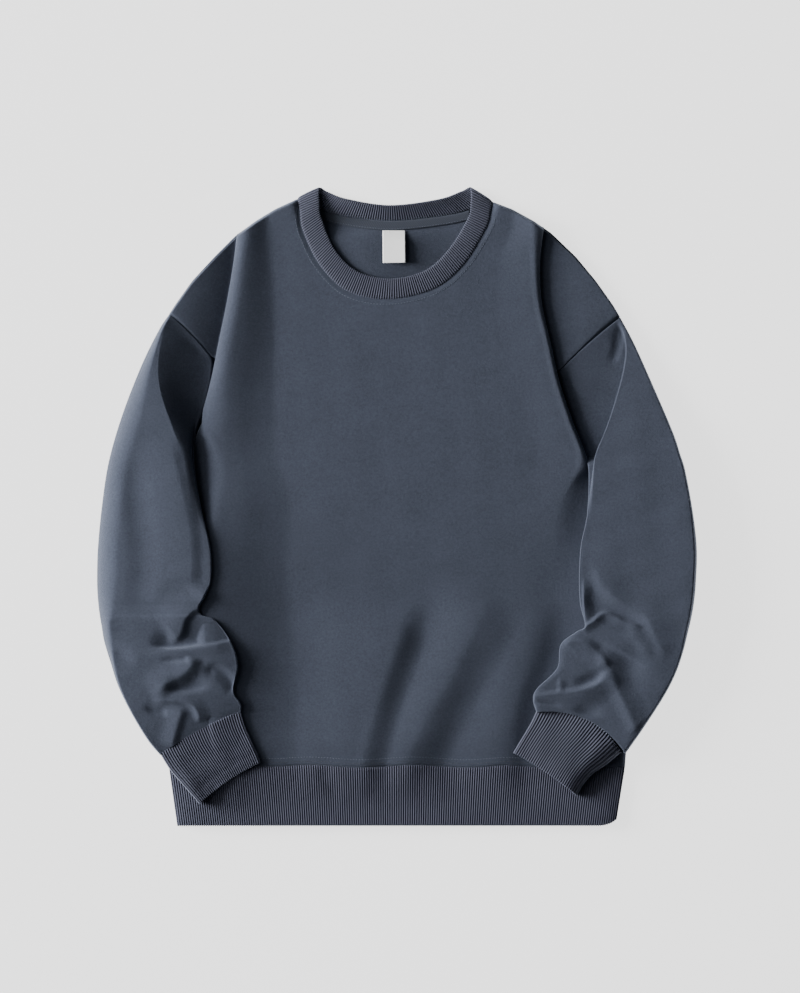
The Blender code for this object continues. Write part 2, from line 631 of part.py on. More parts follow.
def make_cuff(name, stations):
    """One cuff, a flattened ribbed tube. Its ribs run along it over the top; underneath it is flat."""
    first = stations[0]
    width = math.dist((first.outer_x, first.outer_y), (first.inner_x, first.inner_y))
    plain = round(width / CUFF_RIB_PITCH * 2 / CUFF_PLAIN_STEP)
    fine = plain * CUFF_PLAIN_STEP
    fine_shares = [k / fine for k in range(fine + 1)]
    outer = []
    inner = []
    for station in stations:
        ribbed = tube_section(station, 0.0, CUFF_ROLL, fine_shares, CUFF_UNDER)
        for k in range(1, fine):
            ribbed[k].z += RIB_RISE if k % 2 else -RIB_RISE
        outer.append(ribbed)
        inner.append(tube_section(station, RIB_CLOTH, CUFF_ROLL, fine_shares[::CUFF_PLAIN_STEP], CUFF_UNDER))
    joins = [k * CUFF_PLAIN_STEP for k in range(plain + 1)] + [fine + 1 + k for k in range(len(CUFF_UNDER))]
    return two_faced(name, outer, inner, joins, SLATE_RIB, closed=True)


def make_hem_front():
    """The front half of the hem band, ribbed on its outside."""
    spans = round(HEM_SEAM_HALF * 2 / HEM_RIB_PITCH * 2 / HEM_PLAIN_STEP)
    columns = spans * HEM_PLAIN_STEP
    lift = [RIB_CLOTH / 2 + (RIB_RISE if k % 2 else -RIB_RISE) for k in range(columns + 1)]
    outer = []
    inner = []
    for down in (0.0, 0.45, 1.0):
        y = mix(HEM_SEAM_Y - SEAM_GAP / 2, HEM_EDGE_Y, down)
        half = mix(HEM_SEAM_HALF, HEM_EDGE_HALF, down)
        across = [mix(-half, half, k / columns) for k in range(columns + 1)]
        middle = [Vector((x, y, hem_height(x, y))) for x in across]
        outer.append([point + Vector((0, 0, up)) for point, up in zip(middle, lift)])
        inner.append([point - Vector((0, 0, RIB_CLOTH / 2)) for point in middle[::HEM_PLAIN_STEP]])
    joins = range(0, columns + 1, HEM_PLAIN_STEP)
    return two_faced("hem_rib_front", outer, inner, joins, SLATE_RIB, closed=False)


def make_hem_back():
    """The back half of the hem band, flat on the surface."""
    top = HEM_SEAM_Y - SEAM_GAP / 2
    outline = [Spot(-HEM_SEAM_HALF, top), Spot(-HEM_EDGE_HALF, HEM_EDGE_Y),
               Spot(HEM_EDGE_HALF, HEM_EDGE_Y), Spot(HEM_SEAM_HALF, top)]
    return flat_piece("hem_rib_back", outline, 0.0, RIB_CLOTH, SLATE_RIB)


def make_neckband():
    """The neckband, a ribbed ring that turns over at the shoulders. Ribs are raised on the face that is up."""
    places = neck_places(NECK_LEFT, NECK_ROUND, None)[:-1]
    outer = [[], []]
    inner = [[], []]
    for column, place in enumerate(places):
        here, before, after = (neck_section(place + step) for step in (0.0, -0.04, 0.04))
        seam = Vector(here[:3])
        free = Vector(here[3:])
        ahead = Vector(after[:3]) + Vector(after[3:]) - Vector(before[:3]) - Vector(before[3:])
        normal = ahead.cross(free - seam).normalized()
        rise = RIB_RISE if column % 2 else -RIB_RISE
        outside_up = smooth((normal.z + 0.3) / 0.6)
        for row, point in enumerate((seam, free)):
            outer[row].append(point + normal * (RIB_CLOTH / 2 + rise * outside_up))
            inner[row].append(point - normal * (RIB_CLOTH / 2 + rise * (1 - outside_up)))
    for point in outer[0] + outer[1] + inner[0] + inner[1]:
        point.z = max(point.z, 0.0)
    return two_faced("neck_rib", outer, inner, range(len(places)), SLATE_RIB, closed=True)


def make_tape():
    """The tape along the back neck seam, lying on the back."""
    places = [mix(NECK_RIGHT, NECK_ROUND, share / 14) for share in range(1, 14)]
    upper = [neck_seam_spot(place, TAPE_GAP) for place in places]
    upper = [spot for spot in upper if TAPE_ENDS[0] < spot.x < TAPE_ENDS[1]]
    lower = [Spot(spot.x, spot.y - TAPE_WIDTH) for spot in reversed(upper)]
    return flat_piece("neck_tape", upper + lower, BODY_CLOTH + LAY_GAP, TAPE_CLOTH, SLATE_TAPE)


def make_label():
    """The neck label, sewn in under the tape, with its loose end a little up."""
    top_y = NECKBAND[LABEL_ROW].seam_y - TAPE_GAP - TAPE_WIDTH - LAY_GAP
    bottom = BODY_CLOTH + LAY_GAP + LABEL_CLOTH / 2
    rows = []
    for share in (0.0, 0.2, 0.45, 0.7, 1.0):
        y = top_y - LABEL_LENGTH * share
        height = bottom + LABEL_LIFT * share * share
        rows.append([Vector((LABEL_LEFT + LABEL_WIDTH * part, y, height)) for part in (0.0, 0.5, 1.0)])
    return sheet("label", rows, LABEL_CLOTH, WHITE_SATIN)


def main():
    for old in list(bpy.data.objects):
        bpy.data.objects.remove(old, do_unlink=True)
    collection = bpy.data.collections.new(OBJECT_NAME)
    bpy.context.scene.collection.children.link(collection)
    make_back()
    make_front()
    make_hem_back()
    make_hem_front()
    make_sleeve("sleeve_left", SLEEVE_LEFT)
    make_sleeve("sleeve_right", SLEEVE_RIGHT)
    make_cuff("cuff_left", CUFF_LEFT)
    make_cuff("cuff_right", CUFF_RIGHT)
    make_neckband()
    make_tape()
    make_label()


main()
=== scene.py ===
"""Crewneck sweatshirt, laid flat on its back with both sleeves folded down over the front.

The cloth, ribs, seams and stitches that show, each on the form of its solid. +X is the right of the garment
as it is looked at from above, +Y runs from the hem to the collar and +Z is up. Tables are in millimetres.
"""
import math
from collections import namedtuple

import bmesh
import bpy
import numpy as np
from mathutils import Matrix, Vector


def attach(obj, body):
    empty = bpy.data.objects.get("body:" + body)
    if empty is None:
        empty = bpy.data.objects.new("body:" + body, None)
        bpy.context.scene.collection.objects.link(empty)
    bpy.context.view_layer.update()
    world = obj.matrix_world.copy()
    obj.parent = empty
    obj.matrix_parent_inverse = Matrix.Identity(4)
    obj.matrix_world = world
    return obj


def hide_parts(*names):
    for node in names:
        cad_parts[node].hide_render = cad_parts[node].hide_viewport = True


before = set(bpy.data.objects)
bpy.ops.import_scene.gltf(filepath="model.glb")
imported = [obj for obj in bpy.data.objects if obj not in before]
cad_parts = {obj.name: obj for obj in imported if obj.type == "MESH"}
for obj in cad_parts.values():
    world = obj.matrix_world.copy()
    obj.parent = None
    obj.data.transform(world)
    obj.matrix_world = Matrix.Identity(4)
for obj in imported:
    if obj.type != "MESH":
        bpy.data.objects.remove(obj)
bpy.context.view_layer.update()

MM = 0.001

# Cloth
BODY_CLOTH = 2
RIB_CLOTH = 2.4
SHELL = 1.4                 # wall of the jersey as it is drawn here
LAY_GAP = 0.3
REST_CLEARANCE = 0.9

# Heights of the middle of the front's cloth
CHEST = 12
FLATTENED = 6.2
SHOULDER_EDGE = 2.6
NECK_WELT = 0.5             # along the neck seam
NECK_BLEND = 7              # width over which the front comes to the neckband's height
SHOULDER_FEET = (3.6, 7.4)  # left and right: the drop shoulder's height along the armhole fold,
SHOULDER_RISES = (14, 0)    # its rise from there outwards,
SHOULDER_SLOPE = 66         # and the width over which it rises
SHOULDER_ROUND = 2.6
SHOULDER_FROM = 120         # y above which the front is drop shoulder,
SHOULDER_BLEND = 40         # and the length over which it becomes one
SHOULDER_LEAN = 0.76        # distance from the shoulder's edge, as a share of the distance along y
SIDE_ROUND = 9
SIDE_FROM = 40              # y below which the front is rounded off at the side seams
SEAM_DIP = 0.5              # of the drop shoulder at the armhole seam
NARROW_RISE = 6             # outer faces up to this width are folds,
WIDE_BLEND = 16             # and those wider by this are slopes
SPREAD_FROM = 64            # y where the hidden edge leaves the foot of the fold,
SPREAD = 24                 # and the length over which it reaches its line
UNDERCUT = 5                # of the armhole folds
HEM_TOP = 9.2
HEM_PULL = 2.6
HEM_PULL_LENGTH = 30
LOWER_LEAN = 0.022          # fall of the lower front towards its right
RIGHT_LEAN = 0.00006        # and its further fall beyond the middle, times the square of the distance
FOLD_LIP = 0.8              # height of the lip along the right armhole fold

# Lengths down the front
HEM_SEAM_Y = -286.6
HEM_EDGE_Y = -351.5
UNDERARM_Y = 7
HEM_SEAM_HALF = 250.8
HEM_EDGE_HALF = 241.5
HEM_SIDE_ROUND = 26
HEM_WAVE = 1.4              # of the hem seam, sideways in plan
HEM_TUCK = 0.9              # how far both sides of the hem seam are drawn in
HEM_CORNER = 7              # how far the hem's right corner is rounded off

# Unevenness of the cloth
FRONT_WAVES, BACK_WAVES, SHOULDER_WAVES, SLEEVE_WAVES = 0.16, 0.12, 0.2, 0.35

# What the sleeves and cuffs rest on
BACK_REST = 2.7             # height over the surface where they lie on the back
BACK_REACH, BACK_FALL = 8, 16  # how far this goes on past the back's side, and over what width it ends
FRONT_REACH, FRONT_FALL = 14, 18  # the same past the front's cut edge
ON_FRONT = (76, 60)         # y below which the left and the right sleeve lie on the front,
ON_FRONT_BLEND = 20         # and the length over which they come to do so

# Ribs
HEM_RIB = 2.55
CUFF_RIBS = (35, 32)        # across the left and the right cuff
NECK_RIB = 2.5
NECK_RIB_RISE = 0.36
RIB_STEPS = 6               # columns to a rib


def named(kind, rows):
    """The rows of a table under the names of its columns."""
    return [kind(*row) for row in rows]


BodyRow = namedtuple("BodyRow", "y fold crest rise bump slope armhole side")
# Each half of the front, level by level. fold is the outer edge of the armhole fold, or of the slope
# beside the sleeve lower down, and crest its highest line. rise is the width of its outer face. bump is
# the height of its roll, and slope the width over which that falls to the chest. armhole is the front's
# cut edge where it runs hidden, and side the side seam. All but y and bump run outwards from the middle.
BODY_LEFT = named(BodyRow, [
    (302, 177, 165, 3.5, 7, 24, 177, 250),
    (269, 181, 170, 3.5, 8, 33, 181, 250),
    (227, 188, 175, 3.5, 9, 42, 188, 250),
    (183, 197, 183, 3.5, 10, 52, 197, 250),
    (139, 206, 190, 4, 10, 58, 206, 250),
    (95, 217.5, 192, 9, 8.5, 62, 217, 250),
    (51, 229, 191, 37, 5.6, 62, 236, 254),
    (7, 238, 194, 43, 8.5, 80, 260.7, 260.7),
    (-59, 250, 212, 37, 12.5, 96, 265, 265),
    (-147, 248, 210, 37, 13, 102, 263, 263),
    (-213, 243, 206, 36, 12, 102, 258.5, 258.5),
    (-287, 232, 196, 35, 5.5, 92, 250.8, 250.8),
])
BODY_RIGHT = named(BodyRow, [
    (306, 162.5, 150, 3.5, 5, 24, 163, 245),
    (269, 158.5, 151, 3.5, 3, 40, 159, 245),
    (227, 160, 154, 3, 2.5, 46, 160, 245),
    (183, 169.5, 164, 3, 2.2, 50, 170, 245),
    (139, 179.5, 174, 3, 2.2, 50, 180, 245),
    (95, 194, 188, 4, 2.2, 50, 194, 245),
    (51, 211, 202, 8, 2.2, 50, 220, 252),
    (7, 222, 184, 42, 1, 50, 259.6, 259.6),
    (-59, 214, 172, 44, 0, 36, 264, 264),
    (-147, 200, 154, 44, 0, 36, 260.7, 260.7),
    (-213, 170, 132, 38, 0, 36, 256.3, 256.3),
    (-287, 160, 124, 36, 0, 36, 250.8, 250.8),
])

# Outer edge of each shoulder, from the neck seam to the armhole seam.
SHOULDER_LEFT = [(-108.5, 339), (-134, 327.3), (-155, 314.5), (-177, 298.5),
                 (-201, 274.5), (-225.5, 248), (-244, 222), (-250.5, 212)]
SHOULDER_RIGHT = [(104.5, 335.5), (126.5, 327.3), (150.7, 314), (169.4, 301),
                  (197, 274.5), (219, 248), (237.6, 221.7), (245.5, 208.5)]
ARMHOLE_BOW = 8

# The back's sides between the armhole seam and the underarm: level, then out to the left and to the
# right.
BACK_SIDES = [(212, 250.5, 245.5), (140, 243, 238), (73, 247.5, 243), (UNDERARM_Y, 260.7, 259.6)]

Half = namedtuple("Half", "rows shoulder fold_top crest_top foot mirror")
LEFT = Half(BODY_LEFT, SHOULDER_LEFT, (-177, 298.5), (-165, 307.2), (-204.6, 165.3), -1)
RIGHT = Half(BODY_RIGHT, SHOULDER_RIGHT, (162, 306.1), (150, 314.4), (180, 150.8), 1)

Fold = namedtuple("Fold", "line right left rise sharp start end")
# Ridges and troughs. Each row has a line, the widths of the slopes to the right and to the left of the
# way it runs, the rise (below 0 in a trough), the sharpness from 0 to 1, and the lengths of its start and
# its end.
FRONT_FOLDS = named(Fold, [
    # long ridges above the hem, steep on their right
    ([(9.9, -98.5), (-1.1, -152.4), (-22, -212.9), (-35.2, -262.4), (-46.2, -311.9), (-49.5, -339.4)],
     130, 31, 7, 0.1, 50, 30),
    ([(111.1, -83.1), (82.5, -142.5), (47.3, -207.4), (18.7, -259.1), (3.3, -303.1), (-3.3, -336.1)],
     60, 44, 6.2, 0.15, 56, 30),
    ([(162.8, -91.9), (137.5, -168.9), (119.9, -234.9), (108.9, -292.1), (102.3, -336.1)],
     60, 52, 4.4, 0, 60, 30),
])
LEFT_SLEEVE_FOLDS = named(Fold, [
    # long soft forms of the upper arm
    ([(-295.9, 73.2), (-287.1, 7.2), (-280.5, -58.9), (-287.1, -135.9)], 20, 24, -1.4, 0, 50, 50),
    ([(-254.1, 84.2), (-240.9, 29.2), (-227.7, -36.9), (-227.7, -91.9)], 44, 14, 2.2, 0.1, 40, 20),
    # elbow: the upper arm laps over the forearm
    ([(-203.5, -87.5), (-213.4, -107.3), (-225.5, -115), (-234.3, -124.9), (-238.7, -140.2),
      (-251.9, -150.2)], 36, 8, 4, 0.2, 14, 14),
    ([(-275, -149.1), (-256.3, -153.5), (-234.3, -152.4), (-207.9, -148), (-172.7, -141.4)],
     5, 24, -5.6, 0.1, 24, 4),
    ([(-278.3, -161.2), (-254.1, -159), (-232.1, -157.9), (-212.3, -154.6), (-183.7, -150.2)],
     14, 7, 1.5, 0.3, 30, 16),
    ([(-265.1, -167.8), (-247.5, -168.9), (-228.8, -167.8)], 5, 6, -3, 0.4, 20, 5),
    ([(-223.3, -163.4), (-227.7, -176.6), (-239.8, -187.6), (-254.1, -195.3), (-271.7, -210.7)],
     30, 14, 4.6, 0.4, 8, 20),
    # forearm
    ([(-257.4, -198.6), (-234.3, -199.7), (-201.3, -195.3)], 8, 18, -4.2, 0.2, 18, 26),
    ([(-213.4, -186.5), (-200.2, -178.8), (-185.9, -188.7), (-177.1, -206.3)], 13, 9, -2.4, 0.2, 12, 8),
    ([(-271.7, -215.1), (-251.9, -214), (-232.1, -215.1), (-221.1, -222.8), (-216.7, -239.3)],
     7, 16, 2.6, 0.6, 16, 8),
    ([(-280.5, -219.5), (-267.3, -225), (-251.9, -227.2)], 7, 9, -2.2, 0.1, 14, 6),
    ([(-233.2, -218.4), (-238.7, -230.5), (-243.1, -245.9), (-248.6, -267.9)], 18, 9, 3, 0.4, 12, 10),
    ([(-206.8, -228.3), (-204.6, -237.1), (-203.5, -248.1)], 5, 9, -0.9, 0.4, 6, 4),
    ([(-326.7, -146.9), (-306.9, -160.1), (-287.1, -173.2)], 12, 14, -1.6, 0, 16, 22),
])
RIGHT_SLEEVE_FOLDS = named(Fold, [
    # the head lies as high as the drop shoulder
    ([(177.1, 145.8), (207.9, 172.2), (236.5, 194.2)], 44, 30, 1.2, 0, 10, 12),
    ([(247.5, 198.6), (243.1, 177.7), (236.5, 154.6)], 9, 7, -1.6, 0, 6, 14),
    ([(205.7, -75.4), (205.7, -102.9), (207.9, -127.1)], 3, 12, 1.6, 0.3, 20, 8),
    # elbow
    ([(214.5, -74.2), (217.8, -104), (231, -116.1), (249.7, -120.5), (273.9, -132.6)],
     16, 24, -2.8, 0, 36, 26),
    ([(214.5, -50.1), (223.3, -80.9), (235.4, -96.3), (256.3, -111.7), (275, -121.6), (284.9, -144.7),
      (298.1, -168.9)], 12, 30, 2, 0.6, 40, 18),
    ([(201.3, -134.8), (214.5, -127.1), (228.8, -117.2), (250.8, -126), (271.7, -133.7)],
     10, 4, 2.8, 0.6, 6, 14),
    ([(210.1, -144.7), (229.9, -154.6), (249.7, -165.6), (276.1, -178.8)], 24, 6, -2, 0.7, 20, 22),
    ([(240.9, -155.7), (251.9, -179.9), (260.7, -210.7)], 22, 32, -1.9, 0, 30, 28),
    ([(249.7, -131.5), (267.3, -146.9), (282.7, -166.7)], 12, 14, 1.6, 0, 16, 16),
    # forearm
    ([(181.5, -157.9), (190.3, -149.1), (207.9, -150.2), (223.3, -163.4), (233.2, -177.7)],
     22, 7, 1.8, 0.4, 12, 8),
    ([(218.9, -157.9), (233.2, -177.7), (243.1, -201.9), (254.1, -226.1), (265.1, -250.3)],
     14, 22, 2.8, 0.8, 16, 10),
    ([(232.1, -178.8), (224.4, -193.1), (205.7, -201.9), (179.3, -206.3), (146.3, -209.6)],
     7, 22, 3.2, 0.4, 10, 4),
    ([(227.7, -184.3), (212.3, -192), (192.5, -196.4)], 12, 7, -2.4, 0, 14, 18),
    ([(190.3, -222.8), (210.1, -227.2), (229.9, -228.3)], 8, 14, -2.2, 0, 18, 18),
    ([(179.3, -187.6), (179.3, -206.3)], 4, 8, 1.4, 0.5, 6, 4),
    ([(147.4, -215.1), (163.9, -216.2), (183.7, -219.5)], 5, 4, -1.8, 0.4, 4, 14),
])
CUFF_LEFT_FOLDS = named(Fold, [
    ([(-249.7, -270.1), (-232.1, -296.5), (-216.7, -320.7)], 10, 12, 1, 0, 14, 14),
    ([(-201.3, -237.1), (-190.3, -262.4), (-172.7, -287.7)], 12, 12, -0.8, 0, 14, 14),
])
CUFF_RIGHT_FOLDS = named(Fold, [
    ([(216.7, -245.9), (203.5, -270.1), (190.3, -300.9)], 14, 14, -0.9, 0, 14, 14),
    ([(171.6, -237.1), (157.3, -262.4), (146.3, -276.7)], 16, 16, 0.8, 0, 14, 14),
])
HEM_FOLDS = named(Fold, [
    ([(-86.9, -283.2), (-75.9, -303.1), (-62.7, -322.9)], 14, 16, -1.6, 0, 14, 14),
    ([(-181.5, -283.2), (-181.5, -311.9), (-179.3, -336.1)], 26, 22, 1.2, 0, 14, 14),
    ([(38.5, -285.5), (45.1, -306.4), (53.9, -325.1)], 22, 26, 0.9, 0, 14, 14),
])

Station = namedtuple("Station", "outer_x outer_y inner_x inner_y flange fall roll drop height bow keep")
# Sections of the sleeves and cuffs. Each row has x and y of the outer edge and of the inner edge; how far
# the highest line lies from the inner edge; over what width it falls from there; the width of the round
# outer edge; how much lower it is there; the height; how far the section curves towards the collar in
# plan; and the share of the height that is left at the inner edge, where the cloth turns under.
SLEEVE_LEFT = named(Station, [
    (-250.6, 211.4, -203.6, 162.6, 64, 61, 3, 0, 19, 2, 0),
    (-261.5, 195, -203.4, 148.4, 69, 66, 4, 0, 25, 1, 0),
    (-281, 155.5, -210, 114.6, 61, 58, 12, 1, 30, 0, 0),
    (-302, 101.5, -221, 81.5, 27, 24, 22, 3, 31, 0, 0.05),
    (-317, 50, -223, 49, 12, 10, 24, 3, 28, 0, 0.3),
    (-324.5, 2, -216, 2, 12, 12, 24, 3, 30, 0, 0.45),
    (-329, -44, -205.3, -46, 14, 14, 24, 3, 33, 0, 0.55),
    (-330, -76, -204.6, -80, 15, 15, 24, 3, 34, 0, 0.6),
    (-329.6, -95, -211, -98.5, 16, 16, 22, 3, 34, 0, 0.6),
    (-328.3, -110, -217.4, -111, 16, 16, 18, 3, 34, 0, 0.6),
    (-327, -120, -214.5, -119.5, 16, 16, 14, 2, 34, 0, 0.6),
    (-325, -132, -201.5, -124, 18, 17, 10, 1, 34, 0, 0.6),
    (-322, -149, -190, -137, 24, 20, 9, 1, 34, 0, 0.6),
    (-315, -172, -179, -156.5, 30, 26, 4, 0.5, 36, 0, 0.6),
    (-307, -197, -175, -177, 34, 30, 2, 0, 36, 0, 0.6),
    (-293, -226, -180, -202, 34, 30, 1.2, 0, 35, 0, 0.6),
    (-275, -256, -172, -217, 30, 27, 0.9, 0, 32.5, 1.5, 0.6),
    (-260.5, -273.5, -171.5, -226.4, 20, 18, 0.8, 0, 29.5, 3.5, 0.6),
])
SLEEVE_RIGHT = named(Station, [
    (245.7, 207.8, 178.6, 148.2, 87.5, 5, 2, 0, 9.5, 2, 0),
    (261.5, 178, 180.4, 132.8, 83, 0.4, 2, 0, 11, 1, 0),
    (283, 130, 189.4, 105.4, 54, 0.3, 2, 0, 16, 0, 0),
    (303.5, 82, 199, 75.9, 28, 0.3, 2, -1, 21, 0, 0),
    (311.5, 58, 204.5, 56.5, 14, 0.4, 2, -1.5, 23.5, 0, 0),
    (317.5, 38, 210.5, 40, 6, 1, 2, -2, 26, 0, 0.3),
    (325.5, -6, 209, -8, 5, 5, 2, -3, 28, 0, 0.94),
    (329.9, -46, 202, -44, 5, 5, 3, -4, 29, 0, 0.95),
    (329, -82, 200.2, -82, 5, 5, 3, -4, 30, 0, 0.95),
    (327, -104, 201.5, -108, 5, 5, 3, -4, 30, 0, 0.95),
    (324, -122, 206.5, -131, 5, 5, 3, -4, 30, 0, 0.95),
    (320, -139, 197, -138, 7, 7, 3, -3, 30, 0, 0.9),
    (314.5, -161, 180, -152, 9, 9, 2, -2, 31, 0, 0.88),
    (306, -185, 175.8, -178, 8, 8, 2, -1, 31, 0, 0.9),
    (293, -210, 154, -200, 7, 7, 2, 0, 31, 2, 0.9),
    (271, -244, 149.5, -212, 7, 7, 2, 0, 30, 10, 0.9),
    (251.3, -272, 153.3, -226.4, 7, 7, 2, 0, 29, 16, 0.9),
])
CUFF_LEFT = named(Station, [
    (-260, -272, -172.7, -224.9, 14, 14, 0.6, 0, 28.5, 3.5, 0.6),
    (-249.5, -289, -168, -241, 14, 14, 0.6, 0, 27, 4, 0.6),
    (-236, -305, -161.5, -256, 14, 14, 0.6, 0, 25.5, 4, 0.6),
    (-225.5, -317, -155, -270, 14, 14, 0.6, 0, 24, 3.5, 0.6),
    (-217.8, -326, -150.7, -281, 14, 14, 0.6, 0, 22, 3, 0.6),
])
CUFF_RIGHT = named(Station, [
    (246.5, -270, 154, -224.6, 72, 70, 22, 0, 28.5, 16.5, 0.6),
    (229.5, -284, 148.5, -236.5, 66, 64, 22, 0, 28, 12.5, 0.6),
    (214.5, -294.5, 142, -248, 60, 58, 22, 0, 27.5, 8, 0.6),
    (204.5, -306, 135, -259.5, 58, 56, 20, 0, 26.5, 4, 0.6),
    (198, -317, 128.7, -270, 58, 56, 18, 0, 25, 2, 0.6),
])
FLANGE_HEIGHT = 3.6
EDGE_ROUND = 7              # rounding of a tube's two edges
FOLD_UNDER = 2.5            # rounding where the cloth turns under at the inner edge
LEAST_GAP = 0.6             # between the top and the under side of a tube
SEAM_RINGS = 10             # rings over which a sleeve takes the front's height at the armhole seam

NeckSection = namedtuple("NeckSection", "seam_x seam_y seam_z free_x free_y free_z")
# The neckband as one ring: down the left of the front, round, up the right, and back along the back. Each
# row has x, y and z of the seam, then of the free edge.
NECKBAND = named(NeckSection, [
    (-108.5, 338.5, 5.4, -84.7, 350, 7.2),
    (-107, 325, 9.8, -85.4, 334.5, 11.2),
    (-103.4, 303, 11.2, -83.2, 317.5, 12.4),
    (-85, 265.6, 12, -68.5, 283, 13.4),
    (-55, 237, 12, -44.5, 259.5, 13.4),
    (-11, 228, 12, -9.5, 250.7, 13.4),
    (39.6, 238.8, 12, 29.5, 258.8, 13.4),
    (73.4, 265.6, 12, 57, 283, 13.4),
    (98.6, 306, 11.4, 77.6, 316.5, 12.6),
    (103.6, 323.5, 10, 81, 333, 11.4),
    (104.5, 335, 5.4, 80.3, 350, 7.2),
    (93, 331.2, 1.8, 71, 347, 5.2),
    (58, 321.8, 1.5, 45, 338, 8.6),
    (-8, 315.2, 1.5, -8, 331.5, 10.4),
    (-65, 321.8, 1.5, -55, 338.5, 8.6),
    (-96, 332.6, 1.8, -76, 346.2, 5.2),
])
NECK_LEFT = 0
NECK_RIGHT = 10
NECK_ROUND = len(NECKBAND)

TAPE_WIDTH = 10
TAPE_ENDS = (-88, 80)
TAPE_GAP = 1.4
TAPE_CLOTH, LABEL_CLOTH = 0.6, 0.35
LABEL_BEND, LABEL_CURL = 1.4, 3.2       # rise of its lower end, and of its right side
BAND_HALF = 1.35            # half the neckband's thickness
STITCH_LIFT = 0.05
LABEL_TOP = 303.6
LABEL_LEFT = -15.8
LABEL_WIDTH = 24.8
LABEL_LENGTH = 35.8


# ---- curves

def clamp(value, low=0, high=1):
    return np.clip(value, low, high)


def mix(start, end, share):
    return start + (end - start) * share


def smooth(share):
    share = clamp(share)
    return share * share * (3 - 2 * share)


def quarter_round(share):
    return np.sqrt(1 - (1 - clamp(share)) ** 2)


def through(rows, places, closed=False):
    """Rows at fractional places of a table, on a smooth curve through its rows."""
    rows = np.array(rows, float)
    places = np.asarray(places, float)
    count = len(rows)
    first = np.floor(places).astype(int)
    if not closed:
        first = np.clip(first, 0, count - 2)
    t = (places - first)[:, None]

    def row(step):
        index = first + step
        return rows[index % count if closed else np.clip(index, 0, count - 1)]

    return (row(-1) * (-t + 2 * t * t - t ** 3) + row(0) * (2 - 5 * t * t + 3 * t ** 3)
            + row(1) * (t + 4 * t * t - 3 * t ** 3) + row(2) * (-t * t + t ** 3)) / 2


def even_places(points, count):
    """Fractional indices of count points at even steps along a line of points."""
    steps = np.linalg.norm(np.diff(points, axis=0), axis=1)
    reached = np.concatenate([[0], np.cumsum(steps)])
    return np.interp(np.linspace(0, reached[-1], count), reached, np.arange(len(points)))


def even_spots(points, count):
    """count spots at even steps along a line of points."""
    places = even_places(points, count)
    return np.stack([np.interp(places, np.arange(len(points)), column) for column in points.T], axis=1)


LEVELS = {half.mirror: through(half.rows, np.linspace(0, len(half.rows) - 1, 400)) for half in (LEFT, RIGHT)}


def half_at(half, name, y):
    """A column of one half's table at y."""
    rows = LEVELS[half.mirror]
    return np.interp(-y, -rows[:, 0], rows[:, BodyRow._fields.index(name)])


def at_level(name, x, y):
    """A column of the body's tables at places on the front."""
    return np.where(x < 0, half_at(LEFT, name, y), half_at(RIGHT, name, y))


def back_side(column, y):
    """How far out the back's side is at y: column 1 is the left one, 2 the right."""
    table = np.array(BACK_SIDES)
    return np.interp(-y, -table[:, 0], table[:, column])


def shoulder_line(x):
    """y of the shoulder's edge at x."""
    lines = [np.array(half.shoulder) for half in (LEFT, RIGHT)]
    sides = [np.interp(np.abs(x), np.abs(line[:, 0]), line[:, 1]) for line in lines]
    return np.where(x < 0, sides[0], sides[1])


def raised(folds, x, y):
    """Sum of ridges and troughs at places."""
    total = np.zeros_like(x)
    for fold in folds:
        line = through(fold.line, np.linspace(0, len(fold.line) - 1, 6 * len(fold.line)))
        reach = max(fold.right, fold.left)
        low, high = line.min(axis=0) - reach, line.max(axis=0) + reach
        near = (x > low[0]) & (x < high[0]) & (y > low[1]) & (y < high[1])
        if not near.any():
            continue
        px, py = x[near], y[near]
        nearest = np.full(px.shape, 1e9)
        aside = np.zeros_like(px)
        run = np.zeros_like(px)
        reached = 0
        for start, step in zip(line, np.diff(line, axis=0)):
            length = math.hypot(*step)
            along = clamp(((px - start[0]) * step[0] + (py - start[1]) * step[1]) / length, 0, length)
            dx = px - start[0] - step[0] * along / length
            dy = py - start[1] - step[1] * along / length
            away = np.hypot(dx, dy)
            closer = away < nearest
            nearest[closer] = away[closer]
            aside[closer] = (step[0] * dy - step[1] * dx)[closer]
            run[closer] = (reached + along)[closer]
            reached += length
        share = clamp(nearest / np.where(aside > 0, fold.left, fold.right))
        top = mix(1 - smooth(share), (1 - share) ** 2, fold.sharp)
        total[near] += fold.rise * top * smooth(run / fold.start) * smooth((reached - run) / fold.end)
    return total


def unevenness(x, y, size):
    """Slight waviness of cloth that lies loose."""
    wave = (np.sin(x / 17 + 1.3 + y / 41) * np.cos(y / 23 - x / 57)
            + 0.6 * np.sin(x / 9 - y / 13 + 0.7) * np.cos(x / 31 + y / 11))
    return size * wave


# ---- the front's form

def neck_section(place, front=False):
    rows = NECKBAND[:NECK_RIGHT + 1] if front else NECKBAND
    return through(rows, np.atleast_1d(place), closed=not front)


def neck_seam(place, gap, front=False):
    """Spots on the neck seam, moved away from the neckband."""
    section = neck_section(place, front)
    away = section[:, 0:2] - section[:, 3:5]
    away /= np.linalg.norm(away, axis=1)[:, None]
    return section[:, 0:2] + away * gap


FRONT_NECK = neck_section(np.linspace(NECK_LEFT, NECK_RIGHT, 160), True)[:, 0:3]


